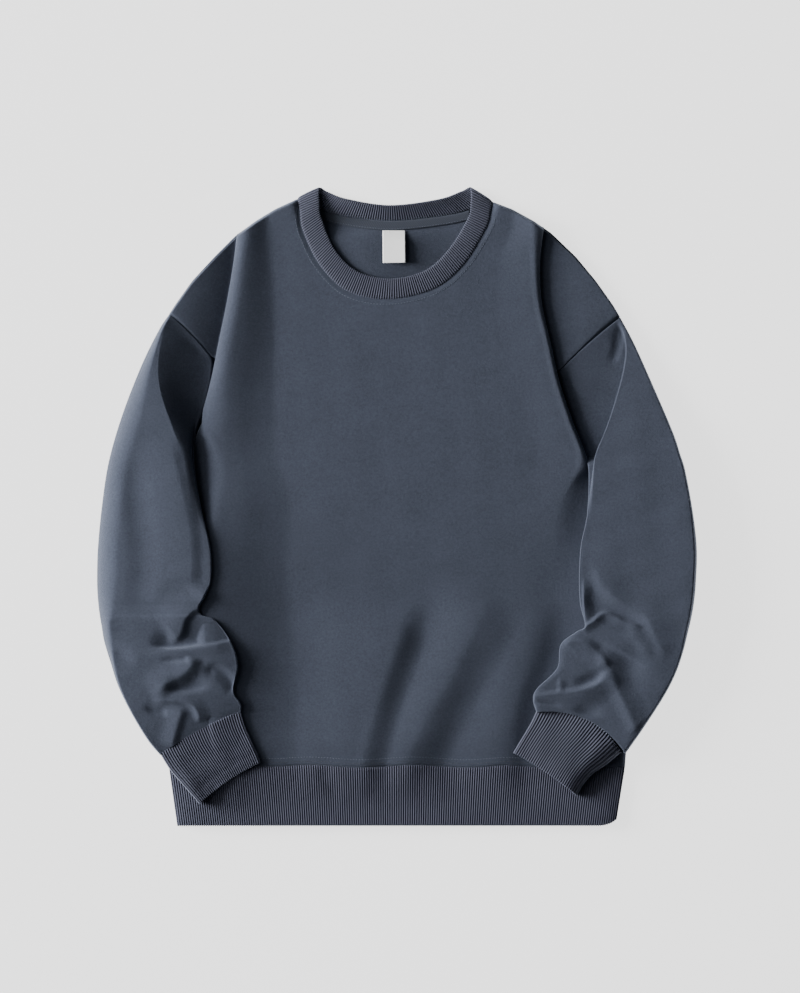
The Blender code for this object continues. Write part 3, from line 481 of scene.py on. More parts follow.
def from_neck_seam(x, y):
    """Distance from the front's neck seam, and the neckband's height there."""
    distance = np.full(x.shape, 1e9)
    level = np.zeros(x.shape)
    near = (np.abs(x) < 140) & (y > 190)
    if near.any():
        spots = np.stack([x[near], y[near]], axis=1)
        gaps = np.sqrt(((spots[:, None, :] - FRONT_NECK[None, :, 0:2]) ** 2).sum(axis=2))
        distance[near] = gaps.min(axis=1)
        level[near] = FRONT_NECK[gaps.argmin(axis=1), 2]
    return distance, level


def to_edges(x, y, height):
    """Brings the front down to the shoulder's edge and to the neckband's height along the neck seam."""
    distance, level = from_neck_seam(x, y)
    height = np.where(y > SHOULDER_FROM, mix(SHOULDER_EDGE, height, edge_share(x, y)), height)
    return mix(level - 0.2, height, smooth(distance / NECK_BLEND))


def edge_share(x, y):
    """0 at the shoulder's edge, 1 where its rounding ends."""
    to_shoulder = (shoulder_line(x) - y) * SHOULDER_LEAN
    return np.where(y > SHOULDER_FROM, quarter_round(to_shoulder / SHOULDER_ROUND), 1)


def wide_share(rise):
    """0 where the outer face is that of a fold, 1 where it is a wide slope."""
    return clamp((rise - NARROW_RISE) / WIDE_BLEND)


def floor_height(x, y):
    """The drop shoulder, and the front where it lies flattened under a sleeve."""
    upper = smooth((y - SHOULDER_FROM) / SHOULDER_BLEND)
    foot = mix(FLATTENED, np.where(x < 0, *SHOULDER_FEET), upper)
    out = clamp((np.abs(x) - at_level("fold", x, y)) / SHOULDER_SLOPE)
    height = foot + np.where(x < 0, *SHOULDER_RISES) * upper * (1 - (1 - out) ** 2)
    height = mix(SHOULDER_EDGE, height, edge_share(x, y))
    side = quarter_round((at_level("side", x, y) - np.abs(x)) / SIDE_ROUND)
    return np.where(y < SIDE_FROM, mix(SHOULDER_EDGE, height, side), height)


def chest_height(x, y):
    """The front's face, before it turns down at the sides."""
    pull = HEM_PULL * smooth((HEM_SEAM_Y + HEM_PULL_LENGTH - y) / HEM_PULL_LENGTH)
    fallen = clamp((at_level("crest", x, y) - np.abs(x)) / at_level("slope", x, y))
    roll = 1 - mix(smooth(fallen), fallen, 0.35 * smooth(fallen * 6) * smooth((1 - fallen) * 4))
    height = CHEST + raised(FRONT_FOLDS, x, y) - pull + at_level("bump", x, y) * roll
    seam = from_neck_seam(x, y)[0]
    welt = NECK_WELT * smooth(seam / 1.6) * (1 - smooth((seam - 3) / 4))
    lean = LOWER_LEAN * clamp(x, -200, 200) + RIGHT_LEAN * np.maximum(x, 0) ** 2
    lean = lean * smooth((30 - y) / 130)
    lip = FOLD_LIP * (x > 0) * (1 - smooth((at_level("crest", x, y) - x) / 4)) * smooth(y / 60)
    hem = HEM_TUCK * (1 - smooth((y - HEM_SEAM_Y) / 1.8))
    return height + welt + lip - lean - hem + unevenness(x, y, FRONT_WAVES)


def front_height(x, y):
    """The whole front as a height over each place."""
    out = np.abs(x)
    rise = at_level("rise", x, y)
    share = (at_level("fold", x, y) - BODY_CLOTH / 2 - out) / rise
    face = mix(quarter_round(share), smooth(share), wide_share(rise))
    low = floor_height(x, y)
    height = mix(low, chest_height(x, y), face)
    return np.where(share <= 0, low, to_edges(x, y, height))


def seam_wave(x):
    """The hem seam's waviness in plan."""
    return HEM_WAVE * np.cos((x - 18) / 18.3) * smooth((150 - np.abs(x)) / 40)


def hem_height(x, y):
    """Height of the middle of the hem's front layer."""
    down = clamp((HEM_SEAM_Y - y) / (HEM_SEAM_Y - HEM_EDGE_Y))
    half = mix(HEM_SEAM_HALF, HEM_EDGE_HALF, down)
    side = RIB_CLOTH * 1.5 + LAY_GAP + 0.35
    flat = mix(side, HEM_TOP, quarter_round((half - np.abs(x)) / HEM_SIDE_ROUND))
    start = np.maximum(front_height(x, np.full_like(x, HEM_SEAM_Y + 2.5)), side)
    return mix(start, flat, smooth(down * 1.3))


def support(x, y):
    """Height on which a sleeve or cuff rests."""
    out = np.abs(x)
    side = at_level("side", x, y)
    back = np.where(y < UNDERARM_Y, side, np.where(x < 0, back_side(1, y), back_side(2, y)))
    on_back = BACK_REST * (1 - smooth((out - back - BACK_REACH) / BACK_FALL))
    within = np.copysign(np.minimum(out, side - SIDE_ROUND), x)
    front = front_height(within, y)
    hem = np.maximum(hem_height(within, y), front) + RIB_CLOTH / 2 + 0.35
    under = np.where(y > HEM_SEAM_Y + 14, front + BODY_CLOTH / 2, hem)
    past = out - at_level("armhole", x, y) - FRONT_REACH
    on_front = (under + REST_CLEARANCE) * (1 - smooth(past / FRONT_FALL))
    return np.maximum(on_back, on_front * smooth((np.where(x < 0, *ON_FRONT) - y) / ON_FRONT_BLEND))


# ---- making meshes

def linked(name, data):
    """A new object with that data, in the scene."""
    made = bpy.data.objects.new(name, data)
    bpy.context.scene.collection.objects.link(made)
    return made


def finish_piece(name, bm, material, nodes, face_up=False, wall=0, offset=-1):
    """Puts a finished bmesh in the scene, in metres. A single face of cloth is given a wall."""
    bmesh.ops.scale(bm, vec=(MM, MM, MM), verts=bm.verts)
    bmesh.ops.recalc_face_normals(bm, faces=bm.faces)
    if face_up and sum(face.normal.z * face.calc_area() for face in bm.faces) < 0:
        bmesh.ops.reverse_faces(bm, faces=bm.faces)
    for face in bm.faces:
        face.smooth = True
    mesh = bpy.data.meshes.new(name)
    bm.to_mesh(mesh)
    bm.free()
    mesh.materials.append(material)
    piece = linked(name, mesh)
    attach(piece, "root")
    if nodes:
        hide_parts(*nodes)
    if wall:
        thick = piece.modifiers.new("wall", "SOLIDIFY")
        thick.thickness = wall * MM
        thick.offset = offset
        thick.use_even_offset = False
    return piece


def woven(points, around=False, along=False, shade_marks=None):
    """A bmesh whose grid runs through points[row, column]. around joins its last column to its first, and
    along its last row to its first. marks are kept at the points as an attribute: the share of painted shade
    in the rib grooves."""
    if shade_marks is None:
        shade_marks = np.zeros(points.shape[:2])
    if around:
        points = np.concatenate([points, points[:, :1]], axis=1)
        shade_marks = np.concatenate([shade_marks, shade_marks[:, :1]], axis=1)
    if along:
        points = np.concatenate([points, points[:1]], axis=0)
        shade_marks = np.concatenate([shade_marks, shade_marks[:1]], axis=0)
    rows, columns = points.shape[:2]
    bm = bmesh.new()
    bmesh.ops.create_grid(bm, x_segments=columns - 1, y_segments=rows - 1, size=1)
    # share of painted shade for the rib grooves, kept at each point for the rib material to read
    layer = bm.verts.layers.float.new("groove_shade")
    for vert, point, mark in zip(bm.verts, points.reshape(-1, 3).tolist(), shade_marks.reshape(-1).tolist()):
        vert.co = point
        vert[layer] = mark
    if around or along:
        border = [vert for vert in bm.verts if vert.is_boundary]
        bmesh.ops.remove_doubles(bm, verts=border, dist=0.0001)
    return bm


def surface_normals(points, around, along):
    """Unit normals of a grid of points."""
    def change(axis, closed):
        if closed:
            return np.roll(points, -1, axis) - np.roll(points, 1, axis)
        return np.gradient(points, axis=axis)
    normal = np.cross(change(1, around), change(0, along))
    return normal / np.maximum(np.linalg.norm(normal, axis=2), 1e-9)[:, :, None]


# ---- finishes

FIBRE_TINT = (0.62, 0.70, 0.88, 1)
MIX_FIRST, MIX_SECOND, MIX_RESULT = 6, 7, 2  # sockets of a mix node that carry colours


class Finish:
    """A material of procedural nodes, read at places on the piece."""

    def __init__(self, name, rough, sheen, tint=FIBRE_TINT):
        self.material = bpy.data.materials.new(name)
        self.material.use_nodes = True
        self.tree = self.material.node_tree
        self.shader = self.tree.nodes["Principled BSDF"]
        self.set_inputs(self.shader, {"Roughness": rough, "Sheen Weight": sheen, "Sheen Roughness": 0.45,
                                      "Sheen Tint": tint, "Specular IOR Level": 0.2})
        self.place = self.tree.nodes.new("ShaderNodeTexCoord").outputs["Object"]

    def set_inputs(self, node, inputs):
        for socket, value in inputs.items():
            if isinstance(value, bpy.types.NodeSocket):
                self.tree.links.new(value, node.inputs[socket])
            else:
                node.inputs[socket].default_value = value

    def node(self, kind, inputs, **settings):
        made = self.tree.nodes.new(kind)
        for key, value in settings.items():
            setattr(made, key, value)
        self.set_inputs(made, inputs)
        return made

    def noise(self, scale, detail=3, rough=0.6):
        inputs = {"Scale": scale, "Detail": detail, "Roughness": rough, "Vector": self.place}
        return self.node("ShaderNodeTexNoise", inputs).outputs["Fac"]

    def bands(self, direction, scale, distortion, detail_scale=1):
        inputs = {"Scale": scale, "Distortion": distortion, "Detail": 2, "Detail Scale": detail_scale,
                  "Vector": self.place}
        made = self.node("ShaderNodeTexWave", inputs, wave_type="BANDS", bands_direction=direction)
        return made.outputs["Fac"]

    def total(self, start, *parts, limit=False):
        """start and each output times its weight. limit keeps the end result between 0 and 1."""
        for output, weight in parts:
            step = self.node("ShaderNodeMath", {0: output, 1: weight, 2: start}, operation="MULTIPLY_ADD")
            start = step.outputs[0]
        step.use_clamp = limit
        return start

    def blend(self, share, first, second):
        inputs = {0: share, MIX_FIRST: first, MIX_SECOND: second}
        return self.node("ShaderNodeMix", inputs, data_type="RGBA").outputs[MIX_RESULT]

    def shades(self, share, colour, dark, light):
        """From the colour times dark to the colour times light."""
        ends = [(*(channel * factor for channel in colour), 1) for factor in (dark, light)]
        return self.blend(share, *ends)

    def done(self, colour, rough, relief, strength, depth):
        bump = self.node("ShaderNodeBump", {"Strength": strength, "Distance": depth, "Height": relief})
        self.set_inputs(self.shader, {"Base Color": colour, "Roughness": rough,
                                      "Normal": bump.outputs["Normal"]})
        return self.material


def jersey(name, colour):
    """Brushed jersey: fine fibres over faint rows of knitting, softly uneven in tone."""
    made = Finish(name, 0.92, 0.35)
    fibres, heather = made.noise(1500, 4, 0.7), made.noise(430, 3, 0.7)
    mottle, broad = made.noise(28, 3, 0.55), made.noise(7, 2, 0.5)
    knit = made.bands("Y", 250, 1.6, detail_scale=2)
    tone = made.total(-0.55, (heather, 1.10), (fibres, 0.40), (mottle, 0.26), (broad, 0.22), (knit, 0.12),
                      limit=True)
    relief = made.total(0, (fibres, 0.6), (heather, 0.7), (knit, 0.35))
    rough = made.total(0.84, (fibres, 0.14), limit=True)
    return made.done(made.shades(tone, colour, 0.62, 1.38), rough, relief, 0.6, 0.0009)


def rib_knit(name, colour):
    """Ribbed knit: painted shade darkens the grooves, where the colour falls to far darker tones; the ridges
    keep the plain tone.
    """
    made = Finish(name, 0.9, 0.3)
    # The attribute read here is the share of painted shade at each point, highest at the bottom of each rib
    # groove.
    groove_shade = made.node("ShaderNodeAttribute", {}, attribute_name="groove_shade").outputs["Fac"]
    fibres, mottle = made.noise(1300, 4, 0.7), made.noise(45, 3, 0.6)
    tone = made.total(-0.02, (fibres, 0.55), (mottle, 0.55), limit=True)
    plain = made.shades(tone, colour, 0.80, 1.22)
    # painted shade: the knit's colour in the grooves, far darker than the plain knit
    shade_colour = made.shades(tone, colour, 0.18, 0.34)
    rough = made.total(0.82, (fibres, 0.14), limit=True)
    return made.done(made.blend(groove_shade, plain, shade_colour), rough, fibres, 0.45, 0.0004)


def woven_tape(name, colour):
    """Narrow woven tape with a slanting weave."""
    made = Finish(name, 0.85, 0.2)
    weave, fibres = made.bands("DIAGONAL", 260, 0.6), made.noise(1200)
    tone = made.total(0, (weave, 0.55), (fibres, 0.45))
    rough = made.total(0.7, (fibres, 0.2))
    return made.done(made.shades(tone, colour, 0.75, 1.25), rough, tone, 0.5, 0.0003)


def satin(name, colour):
    """White satin-weave label, bare."""
    made = Finish(name, 0.5, 0.1, (1, 1, 1, 1))
    threads, soft = made.bands("Y", 900, 0.8), made.noise(90)
    tone = made.total(0, (threads, 0.4), (soft, 0.6))
    rough = made.total(0.42, (threads, 0.15))
    return made.done(made.shades(tone, colour, 0.93, 1), rough, tone, 0.25, 0.0002)


def thread(name, colour):
    made = Finish(name, 0.6, 0.3, (0.7, 0.75, 0.9, 1))
    twist = made.noise(2200, 2)
    rough = made.total(0.45, (twist, 0.3))
    return made.done(made.shades(twist, colour, 0.7, 1.35), rough, twist, 0.4, 0.0002)


SLATE = (0.0405, 0.0475, 0.068)
SLATE_RIB = (0.066, 0.070, 0.099)
JERSEY = jersey("brushed_jersey", SLATE)
RIB = rib_knit("slate_rib_knit", SLATE_RIB)
TAPE = woven_tape("slate_neck_tape", (0.034, 0.039, 0.053))
SATIN = satin("white_label_satin", (0.97, 0.97, 0.965))
THREAD = thread("slate_thread", (0.060, 0.072, 0.100))
DARK_THREAD = thread("dark_slate_thread", (0.022, 0.026, 0.036))


# ---- front

SEAM_COLUMNS = 26
FACE_COLUMNS = 14
SHOULDER_COLUMNS = 14
NECK_COLUMNS = 84
UPPER_ROWS = 84
LOWER_ROWS = 124
ROW_CROWDING = 1.35         # how much closer the rows are at the top
FACE_MIDDLE = 0.42          # height at which the fold's face stands upright


def outer_points(half, share, level):
    """From the armhole seam, or the hidden edge under the sleeve, to the foot of the armhole fold."""
    part = np.linspace(0, 1, SEAM_COLUMNS, endpoint=False)
    fold_y = mix(half.fold_top[1], level, share)
    fold_out = half_at(half, "fold", fold_y) - 1
    narrow = 1 - wide_share(half_at(half, "rise", fold_y))
    foot_out = fold_out - UNDERCUT * narrow * edge_share(half.mirror * fold_out, fold_y)
    foot_x = half.mirror * foot_out
    if level >= half.foot[1]:
        corner = half.shoulder[-1]
        seam_y = mix(corner[1], half.foot[1], share) + ARMHOLE_BOW * share * (1 - share)
        x = mix(mix(corner[0], half.foot[0], share), foot_x, part)
        y = mix(seam_y, fold_y, part)
        edge_y = shoulder_line(mix(corner[0], half.fold_top[0], part))
        y = y + (edge_y - mix(corner[1], half.fold_top[1], part)) * (1 - share)
        dip = SEAM_DIP * (1 - smooth(part * 14))
        z = floor_height(x, y) - dip + unevenness(x, y, SHOULDER_WAVES) * smooth(share * 5)
        return np.stack([x, y, z], axis=1)
    spread = smooth((SPREAD_FROM - level) / SPREAD)
    side = half_at(half, "armhole", fold_y)
    x = half.mirror * mix(foot_out + (1 - part), mix(side, foot_out, part), spread)
    y = np.full_like(part, level)
    z = mix(3 + 3.2 * part, floor_height(x, y), spread)
    return np.stack([x, y, z], axis=1)


def face_points(half, share, level):
    """Up the outer face of the fold and over to its crest."""
    v = np.linspace(0, 1, FACE_COLUMNS)
    side = half.mirror
    turn = (v - 0.5) * math.pi
    reach = np.where(turn > 0, 1 - np.cos(turn), 0)
    top_y = shoulder_line(mix(half.fold_top[0], half.crest_top[0], reach))
    y = mix(top_y, level, share)
    wide = wide_share(half_at(half, "rise", y))
    fold = half_at(half, "fold", y) - 1
    crest = half_at(half, "crest", y)
    undercut = UNDERCUT * (1 - wide) * edge_share(side * fold, y)
    out = fold - np.where(turn > 0, fold - crest, undercut) * (1 - np.cos(turn))
    low = floor_height(side * fold, y)
    high = chest_height(side * crest, y)
    middle = mix(low, high, FACE_MIDDLE)
    z = middle + np.where(turn > 0, high - middle, middle - low) * np.sin(turn)
    end = np.minimum(edge_share(side * out, y), quarter_round(share * 50))  # closes the fold at its top
    z = mix(mix(low, SHOULDER_EDGE, v), z, end)
    slope_out = mix(fold, crest, v)
    slope_z = front_height(side * slope_out, y)
    return np.stack([side * mix(out, slope_out, wide), y, mix(z, slope_z, wide)], axis=1)


def shoulder_spots(half):
    """Spots on the shoulder's edge, from the fold to the neck."""
    part = np.arange(1, SHOULDER_COLUMNS + 1) / (SHOULDER_COLUMNS + 1)
    x = mix(half.crest_top[0], half.shoulder[0][0], part)
    return np.column_stack([x, shoulder_line(x)])


def front_grid():
    dense = np.linspace(NECK_LEFT, NECK_RIGHT, 1200)
    places = np.interp(even_places(neck_seam(dense, 0, True), NECK_COLUMNS + 1), np.arange(1200), dense)
    tops = np.concatenate([shoulder_spots(LEFT), neck_seam(places, -0.3, True), shoulder_spots(RIGHT)[::-1]])
    part = (np.arange(len(tops)) + 1) / (len(tops) + 1)
    top_part = (tops[:, 0] - LEFT.crest_top[0]) / (RIGHT.crest_top[0] - LEFT.crest_top[0])
    rows = []
    for number in range(UPPER_ROWS + LOWER_ROWS + 1):
        share = min(1, (number / UPPER_ROWS) ** ROW_CROWDING)
        down = max(0, (number - UPPER_ROWS) / LOWER_ROWS)
        levels = [mix(half.foot[1], HEM_SEAM_Y, down) for half in (LEFT, RIGHT)]
        y = mix(tops[:, 1], mix(levels[0], levels[1], part), share)
        ends = [half.mirror * half_at(half, "crest", mix(half.crest_top[1], level, share))
                for half, level in zip((LEFT, RIGHT), levels)]
        x = mix(ends[0], ends[1], mix(top_part, part, share))
        z = to_edges(x, y, chest_height(x, y))
        y = y + seam_wave(x) * smooth((HEM_SEAM_Y + 24 - y) / 24)
        middle = np.stack([x, y, z], axis=1)
        left, right = (np.concatenate([outer_points(half, share, lev), face_points(half, share, lev)])
                       for half, lev in zip((LEFT, RIGHT), levels))
        rows.append(np.concatenate([left, middle, right[::-1]]))
    points = np.array(rows)
    points[:, :, 2] += BODY_CLOTH / 2
    return points


def make_front():
    return finish_piece("front_cloth", woven(front_grid()), JERSEY, ["front_panel"],
                        face_up=True, wall=SHELL)


# ---- back

BACK_SWELL = 9
BACK_COLUMNS, BACK_UPPER_ROWS, BACK_LOWER_ROWS = 120, 26, 84


def back_swell(x, y):
    """The back puffs up a little inside the neck, highest left of the middle."""
    across = smooth((x + 118) / 34) * (1 - smooth((x + 44) / 116))
    return BACK_SWELL * across * smooth((317 - y) / 26) * smooth((y - 170) / 60)


def make_back():
    """The back, flat on the surface, seen inside the neck."""
    columns, upper, lower = BACK_COLUMNS, BACK_UPPER_ROWS, BACK_LOWER_ROWS
    neck = neck_seam(np.linspace(NECK_ROUND, NECK_RIGHT, 300), -0.6)
    top = np.concatenate([np.array(SHOULDER_LEFT[:0:-1]), neck, np.array(SHOULDER_RIGHT[1:])])
    top = even_spots(top, columns + 1)
    part = np.linspace(0, 1, columns + 1)
    corners = (SHOULDER_LEFT[-1], SHOULDER_RIGHT[-1])
    across = np.stack([mix(corners[0][k], corners[1][k], part) for k in (0, 1)], axis=1)
    rows = [mix(top, across, number / upper) for number in range(upper)]
    for number in range(lower + 1):
        levels = [mix(corner[1], HEM_SEAM_Y, number / lower) for corner in corners]
        outs = [back_side(column, level) if level > UNDERARM_Y else half_at(half, "side", level)
                for column, half, level in zip((1, 2), (LEFT, RIGHT), levels)]
        rows.append(np.stack([mix(-outs[0], outs[1], part), mix(levels[0], levels[1], part)], axis=1))
    x, y = np.moveaxis(np.array(rows), 2, 0)
    height = BODY_CLOTH - 0.2 + unevenness(x, y, BACK_WAVES) + back_swell(x, y)
    return finish_piece("back_cloth", woven(np.stack([x, y, height], axis=2)), JERSEY,
                        ["back_panel"], face_up=True, wall=SHELL)


# ---- sleeves and cuffs

SLEEVE_RINGS, CUFF_RINGS = 230, 18
CROWN_COLUMNS, SLOPE_COLUMNS, UNDER_COLUMNS = 70, 34, 42
CROWDING = 0.5              # of a sleeve's columns towards its edges
CUFF_WALL, CUFF_RIB_RISE = 1.8, 0.5


def tube_points(stations, rings, tops, unders, folds, by_crest):
    """Rings of points round a flattened tube, each over the top from the outer edge to the inner and back
    under. by_crest counts tops from 0 at the outer edge to 1 at the highest line and 2 at the inner
    edge."""
    table = through(stations, np.linspace(0, len(stations) - 1, rings))
    outer, inner = table[:, None, 0:2], table[:, None, 2:4]
    flange, fall, roll, drop, height, bow, keep = (table[:, None, k] for k in range(4, 11))
    width = np.linalg.norm(inner - outer, axis=2)
    across = (inner - outer) / width[:, :, None]
    up = np.stack([-across[:, :, 1], across[:, :, 0]], axis=2)
    up = np.where(up[:, :, 1:2] < 0, -up, up)
    roll = np.minimum(roll, 0.8 * (width - flange))
    crest = width - flange

    def spots(step):
        shares = step / width
        spot = outer + across * step[:, :, None]
        spot = spot + up * (4 * bow * shares * (1 - shares))[:, :, None]
        return spot[:, :, 0], spot[:, :, 1]

    tops = np.asarray(tops)[None, :]
    step = np.where(tops < 1, crest * tops, crest + flange * (tops - 1)) if by_crest else width * tops
    x, y = spots(step)
    low = support(x, y) + FLANGE_HEIGHT / 2
    level = np.maximum(height, low[:, -1:] + FLANGE_HEIGHT / 2) - drop * (1 - clamp(step / crest)) ** 1.3
    crown = low + (level - low) * quarter_round(step / roll)
    flat = low[:, -1:] + FLANGE_HEIGHT / 2 * quarter_round((width - step) / FOLD_UNDER)
    past = clamp((step - crest) / fall)
    narrow = clamp((flange - 16) / 20)
    left = mix(np.sqrt(1 - past * past), 1 - mix(past, smooth(past), 0.35), narrow)
    slope = flat + (level - flat) * mix(left, 1, keep)
    slope = mix(low, slope, quarter_round((width - step) / 0.8))
    z = np.where(step <= crest, crown, slope)
    inside = smooth(step / EDGE_ROUND) * smooth((width - step) / 2)
    z = z + inside * (raised(folds, x, y) + unevenness(x, y, SLEEVE_WAVES))
    z = np.maximum(z, low + LEAST_GAP)
    if by_crest:
        seam = floor_height(x[0], y[0]) + BODY_CLOTH / 2 + 0.1
        z = z + (seam - z[0]) * (1 - smooth(np.arange(rings) / SEAM_RINGS))[:, None]
    over = np.stack([x, y, z], axis=2)
    step = width * np.asarray(unders)[None, :]
    x, y = spots(step)
    edge = 1 - quarter_round(np.minimum(step, width - step) / EDGE_ROUND)
    under = np.stack([x, y, support(x, y) + edge * FLANGE_HEIGHT / 2], axis=2)
    return np.concatenate([over, under], axis=1)


def spread_shares(count, crowd):
    """Shares from 0 to 1, closer together near both ends."""
    even = np.linspace(0, 1, count)
    return mix(even, (1 - np.cos(math.pi * even)) / 2, crowd)


def make_sleeve(name, stations, folds, node_name):
    crown, slope = spread_shares(CROWN_COLUMNS, CROWDING)[:-1], spread_shares(SLOPE_COLUMNS, 0.6)
    tops = np.concatenate([crown, 1 + slope])
    unders = spread_shares(UNDER_COLUMNS, CROWDING)[-2:0:-1]
    points = tube_points(stations, SLEEVE_RINGS, tops, unders, folds, True)
    return finish_piece(name, woven(points, around=True), JERSEY, [node_name], wall=SHELL)


def turned_wall(points, thickness, ribs, rise, around):
    """A folded band of ribbed knit whose outside runs through points[row, column], goes round the free edge
    at the last row and comes back inside. ribs are each column's place in its rib, in whole ribs."""
    normal = surface_normals(points, around, False)
    if normal[len(points) // 2, points.shape[1] // 4, 2] < 0:
        normal = -normal
    wave = np.cos(2 * math.pi * ribs)[None, :, None]
    # share of painted shade across each rib, highest at the bottom of its groove
    groove_shade = (0.5 - 0.5 * np.cos(2 * math.pi * ribs)) ** 1.5
    outside = points + normal * wave * rise
    onward = points[-1] - points[-2]
    onward = onward / np.linalg.norm(onward, axis=1)[:, None]
    half = thickness / 2
    centre = points[-1] - normal[-1] * half
    edge = []
    for angle in (60, 30, 0, -30, -60):
        direction = normal[-1] * math.sin(math.radians(angle)) + onward * math.cos(math.radians(angle))
        edge.append(centre + direction * (half + wave[0] * rise))
    plain = points[::-1][::2] - normal[::-1][::2] * thickness
    inside = plain - normal[::-1][::2] * wave * rise * 0.6
    loop = np.concatenate([outside, np.array(edge), inside])
    shade_marks = np.repeat(groove_shade[None, :], len(loop), axis=0)
    return loop, shade_marks


def make_cuff(name, stations, folds, node_name):
    ribs = CUFF_RIBS[stations is CUFF_RIGHT]
    tops = np.linspace(0, 1, ribs * RIB_STEPS + 1)
    unders = np.linspace(0, 1, ribs * RIB_STEPS + 1)[-2:0:-1]
    points = tube_points(stations, CUFF_RINGS, tops, unders, folds, False)
    places = np.arange(points.shape[1]) / RIB_STEPS
    loop, shade_marks = turned_wall(points, CUFF_WALL, places, CUFF_RIB_RISE, True)
    bm = woven(loop, around=True, along=True, shade_marks=shade_marks)
    return finish_piece(name, bm, RIB, [node_name])


# ---- hem

HEM_BACK_RIB, HEM_FRONT_RIB = (RIB_CLOTH - 0.7, 0.40), (RIB_CLOTH - 0.4, 0.50)     # wall, and rise of a rib


def hem_points(back):
    ribs = round(HEM_SEAM_HALF * 2 / HEM_RIB)
    share = np.linspace(-1, 1, ribs * RIB_STEPS + 1)
    rows = []
    for down in (0, 0.012, 0.024, 0.036, 0.05, 0.1, 0.2, 0.32, 0.44, 0.56, 0.68, 0.8, 0.9, 1):
        y = mix(HEM_SEAM_Y + (0.1 if back else 0.9), HEM_EDGE_Y + 1.2, down)
        half = mix(HEM_SEAM_HALF, HEM_EDGE_HALF, down)
        x = share * half
        line = y + HEM_CORNER * down * clamp((share - 0.9) / 0.1) ** 3 + seam_wave(x) * (1 - down) ** 3
        if back:
            z = np.full_like(x, RIB_CLOTH - 0.35)
        else:
            tuck = HEM_TUCK * (1 - smooth(down / 0.045))
            z = hem_height(x, line) + RIB_CLOTH / 2 - tuck + raised(HEM_FOLDS, x, line)
        rows.append(np.stack([x, line, z], axis=1))
    return np.array(rows), np.arange(len(share)) / RIB_STEPS


def make_hem(name, back, node_name):
    points, places = hem_points(back)
    wall, rise = HEM_BACK_RIB if back else HEM_FRONT_RIB
    loop, shade_marks = turned_wall(points, wall, places, rise, False)
    bm = woven(loop, along=True, shade_marks=shade_marks)
    ends = [edge for edge in bm.edges if edge.is_boundary]
    bmesh.ops.holes_fill(bm, edges=ends, sides=0)
    return finish_piece(name, bm, RIB, [node_name])


# ---- neck

def make_neckband():
    """The neckband, from its outside round the free edge to its inside."""
    dense = np.linspace(NECK_LEFT, NECK_ROUND, 2400)
    section = neck_section(dense)
    centre = (section[:, 0:3] + section[:, 3:6]) / 2
    length = np.linalg.norm(np.diff(centre, axis=0), axis=1).sum()
    ribs = round(length / NECK_RIB)
    count = ribs * RIB_STEPS
    places = np.interp(even_places(centre, count + 1), np.arange(len(dense)), dense)[:-1]
    section = neck_section(places)
    seam, free = section[:, 0:3], section[:, 3:6]
    ahead = neck_section(places + 0.04) - neck_section(places - 0.04)
    ahead = ahead[:, 0:3] + ahead[:, 3:6]
    across = free - seam
    width = np.linalg.norm(across, axis=1)[:, None]
    across = across / width
    normal = np.cross(ahead, free - seam)
    normal /= np.linalg.norm(normal, axis=1)[:, None]
    wave = np.cos(2 * math.pi * np.arange(count) / RIB_STEPS)[:, None]
    half = BAND_HALF
    faces = np.linspace(0, 1, 11)
    loop = []
    for share in faces:
        puff = 0.6 * math.sin(math.pi * share) ** 0.7 - 0.5 * (share < 0.01)
        loop.append(seam + across * (width - half) * share + normal * (half + puff + wave * NECK_RIB_RISE))
    for angle in (60, 25, 0, -25, -60):
        turn = math.radians(angle)
        direction = normal * math.sin(turn) + across * math.cos(turn)
        loop.append(seam + across * (width - half) + direction * (half + wave * 0.34))
    for share in faces[::-1]:
        loop.append(seam + across * (width - half) * share - normal * (half - 0.1 + wave * 0.38))
    loop = np.array(loop)
    loop[:, :, 2] = np.maximum(loop[:, :, 2], 0.25)
    # share of painted shade across each rib of the neckband, highest at the bottom of its groove
    shade_marks = np.repeat((0.5 - 0.5 * wave[None, :, 0]) ** 1.5, len(loop), axis=0)
    bm = woven(loop, around=True, along=True, shade_marks=shade_marks)
    return finish_piece("neckband_knit", bm, RIB, ["neck_rib"])


def make_tape():
    """Tape along the back neck seam."""
    seam = neck_seam(np.linspace(NECK_ROUND, NECK_RIGHT, 260), TAPE_GAP)
    seam = seam[(seam[:, 0] > TAPE_ENDS[0]) & (seam[:, 0] < TAPE_ENDS[1])]
    rows = []
    for share, lift in zip((0, 0.06, 0.2, 0.5, 0.8, 0.94, 1), (0, 0.35, 0.5, 0.55, 0.5, 0.35, 0)):
        x, y = seam[:, 0], seam[:, 1] - TAPE_WIDTH * share
        rows.append(np.column_stack([x, y, BODY_CLOTH + LAY_GAP + 0.5 + lift + back_swell(x, y)]))
    return finish_piece("back_neck_tape", woven(np.array(rows)), TAPE, ["neck_tape"],
                        face_up=True, wall=TAPE_CLOTH)


def label_lift(across, down):
    """The label curls up to its right."""
    return LABEL_BEND * down ** 2 + LABEL_CURL * across ** 1.2 * smooth(down * 2.2)


def make_label():
    rows = []
    across = np.linspace(0, 1, 26)
    for share in np.linspace(0, 1, 36):
        x = LABEL_LEFT + LABEL_WIDTH * across + 0.3 * share
        y = np.full_like(x, LABEL_TOP - LABEL_LENGTH * share) + 0.5 * share * across
        rows.append(np.column_stack([x, y, 3 + back_swell(x, y) + label_lift(across, share)]))
    return finish_piece("blank_neck_label", woven(np.array(rows)), SATIN, ["label"],
                        face_up=True, wall=LABEL_CLOTH, offset=0)


# ---- stitches

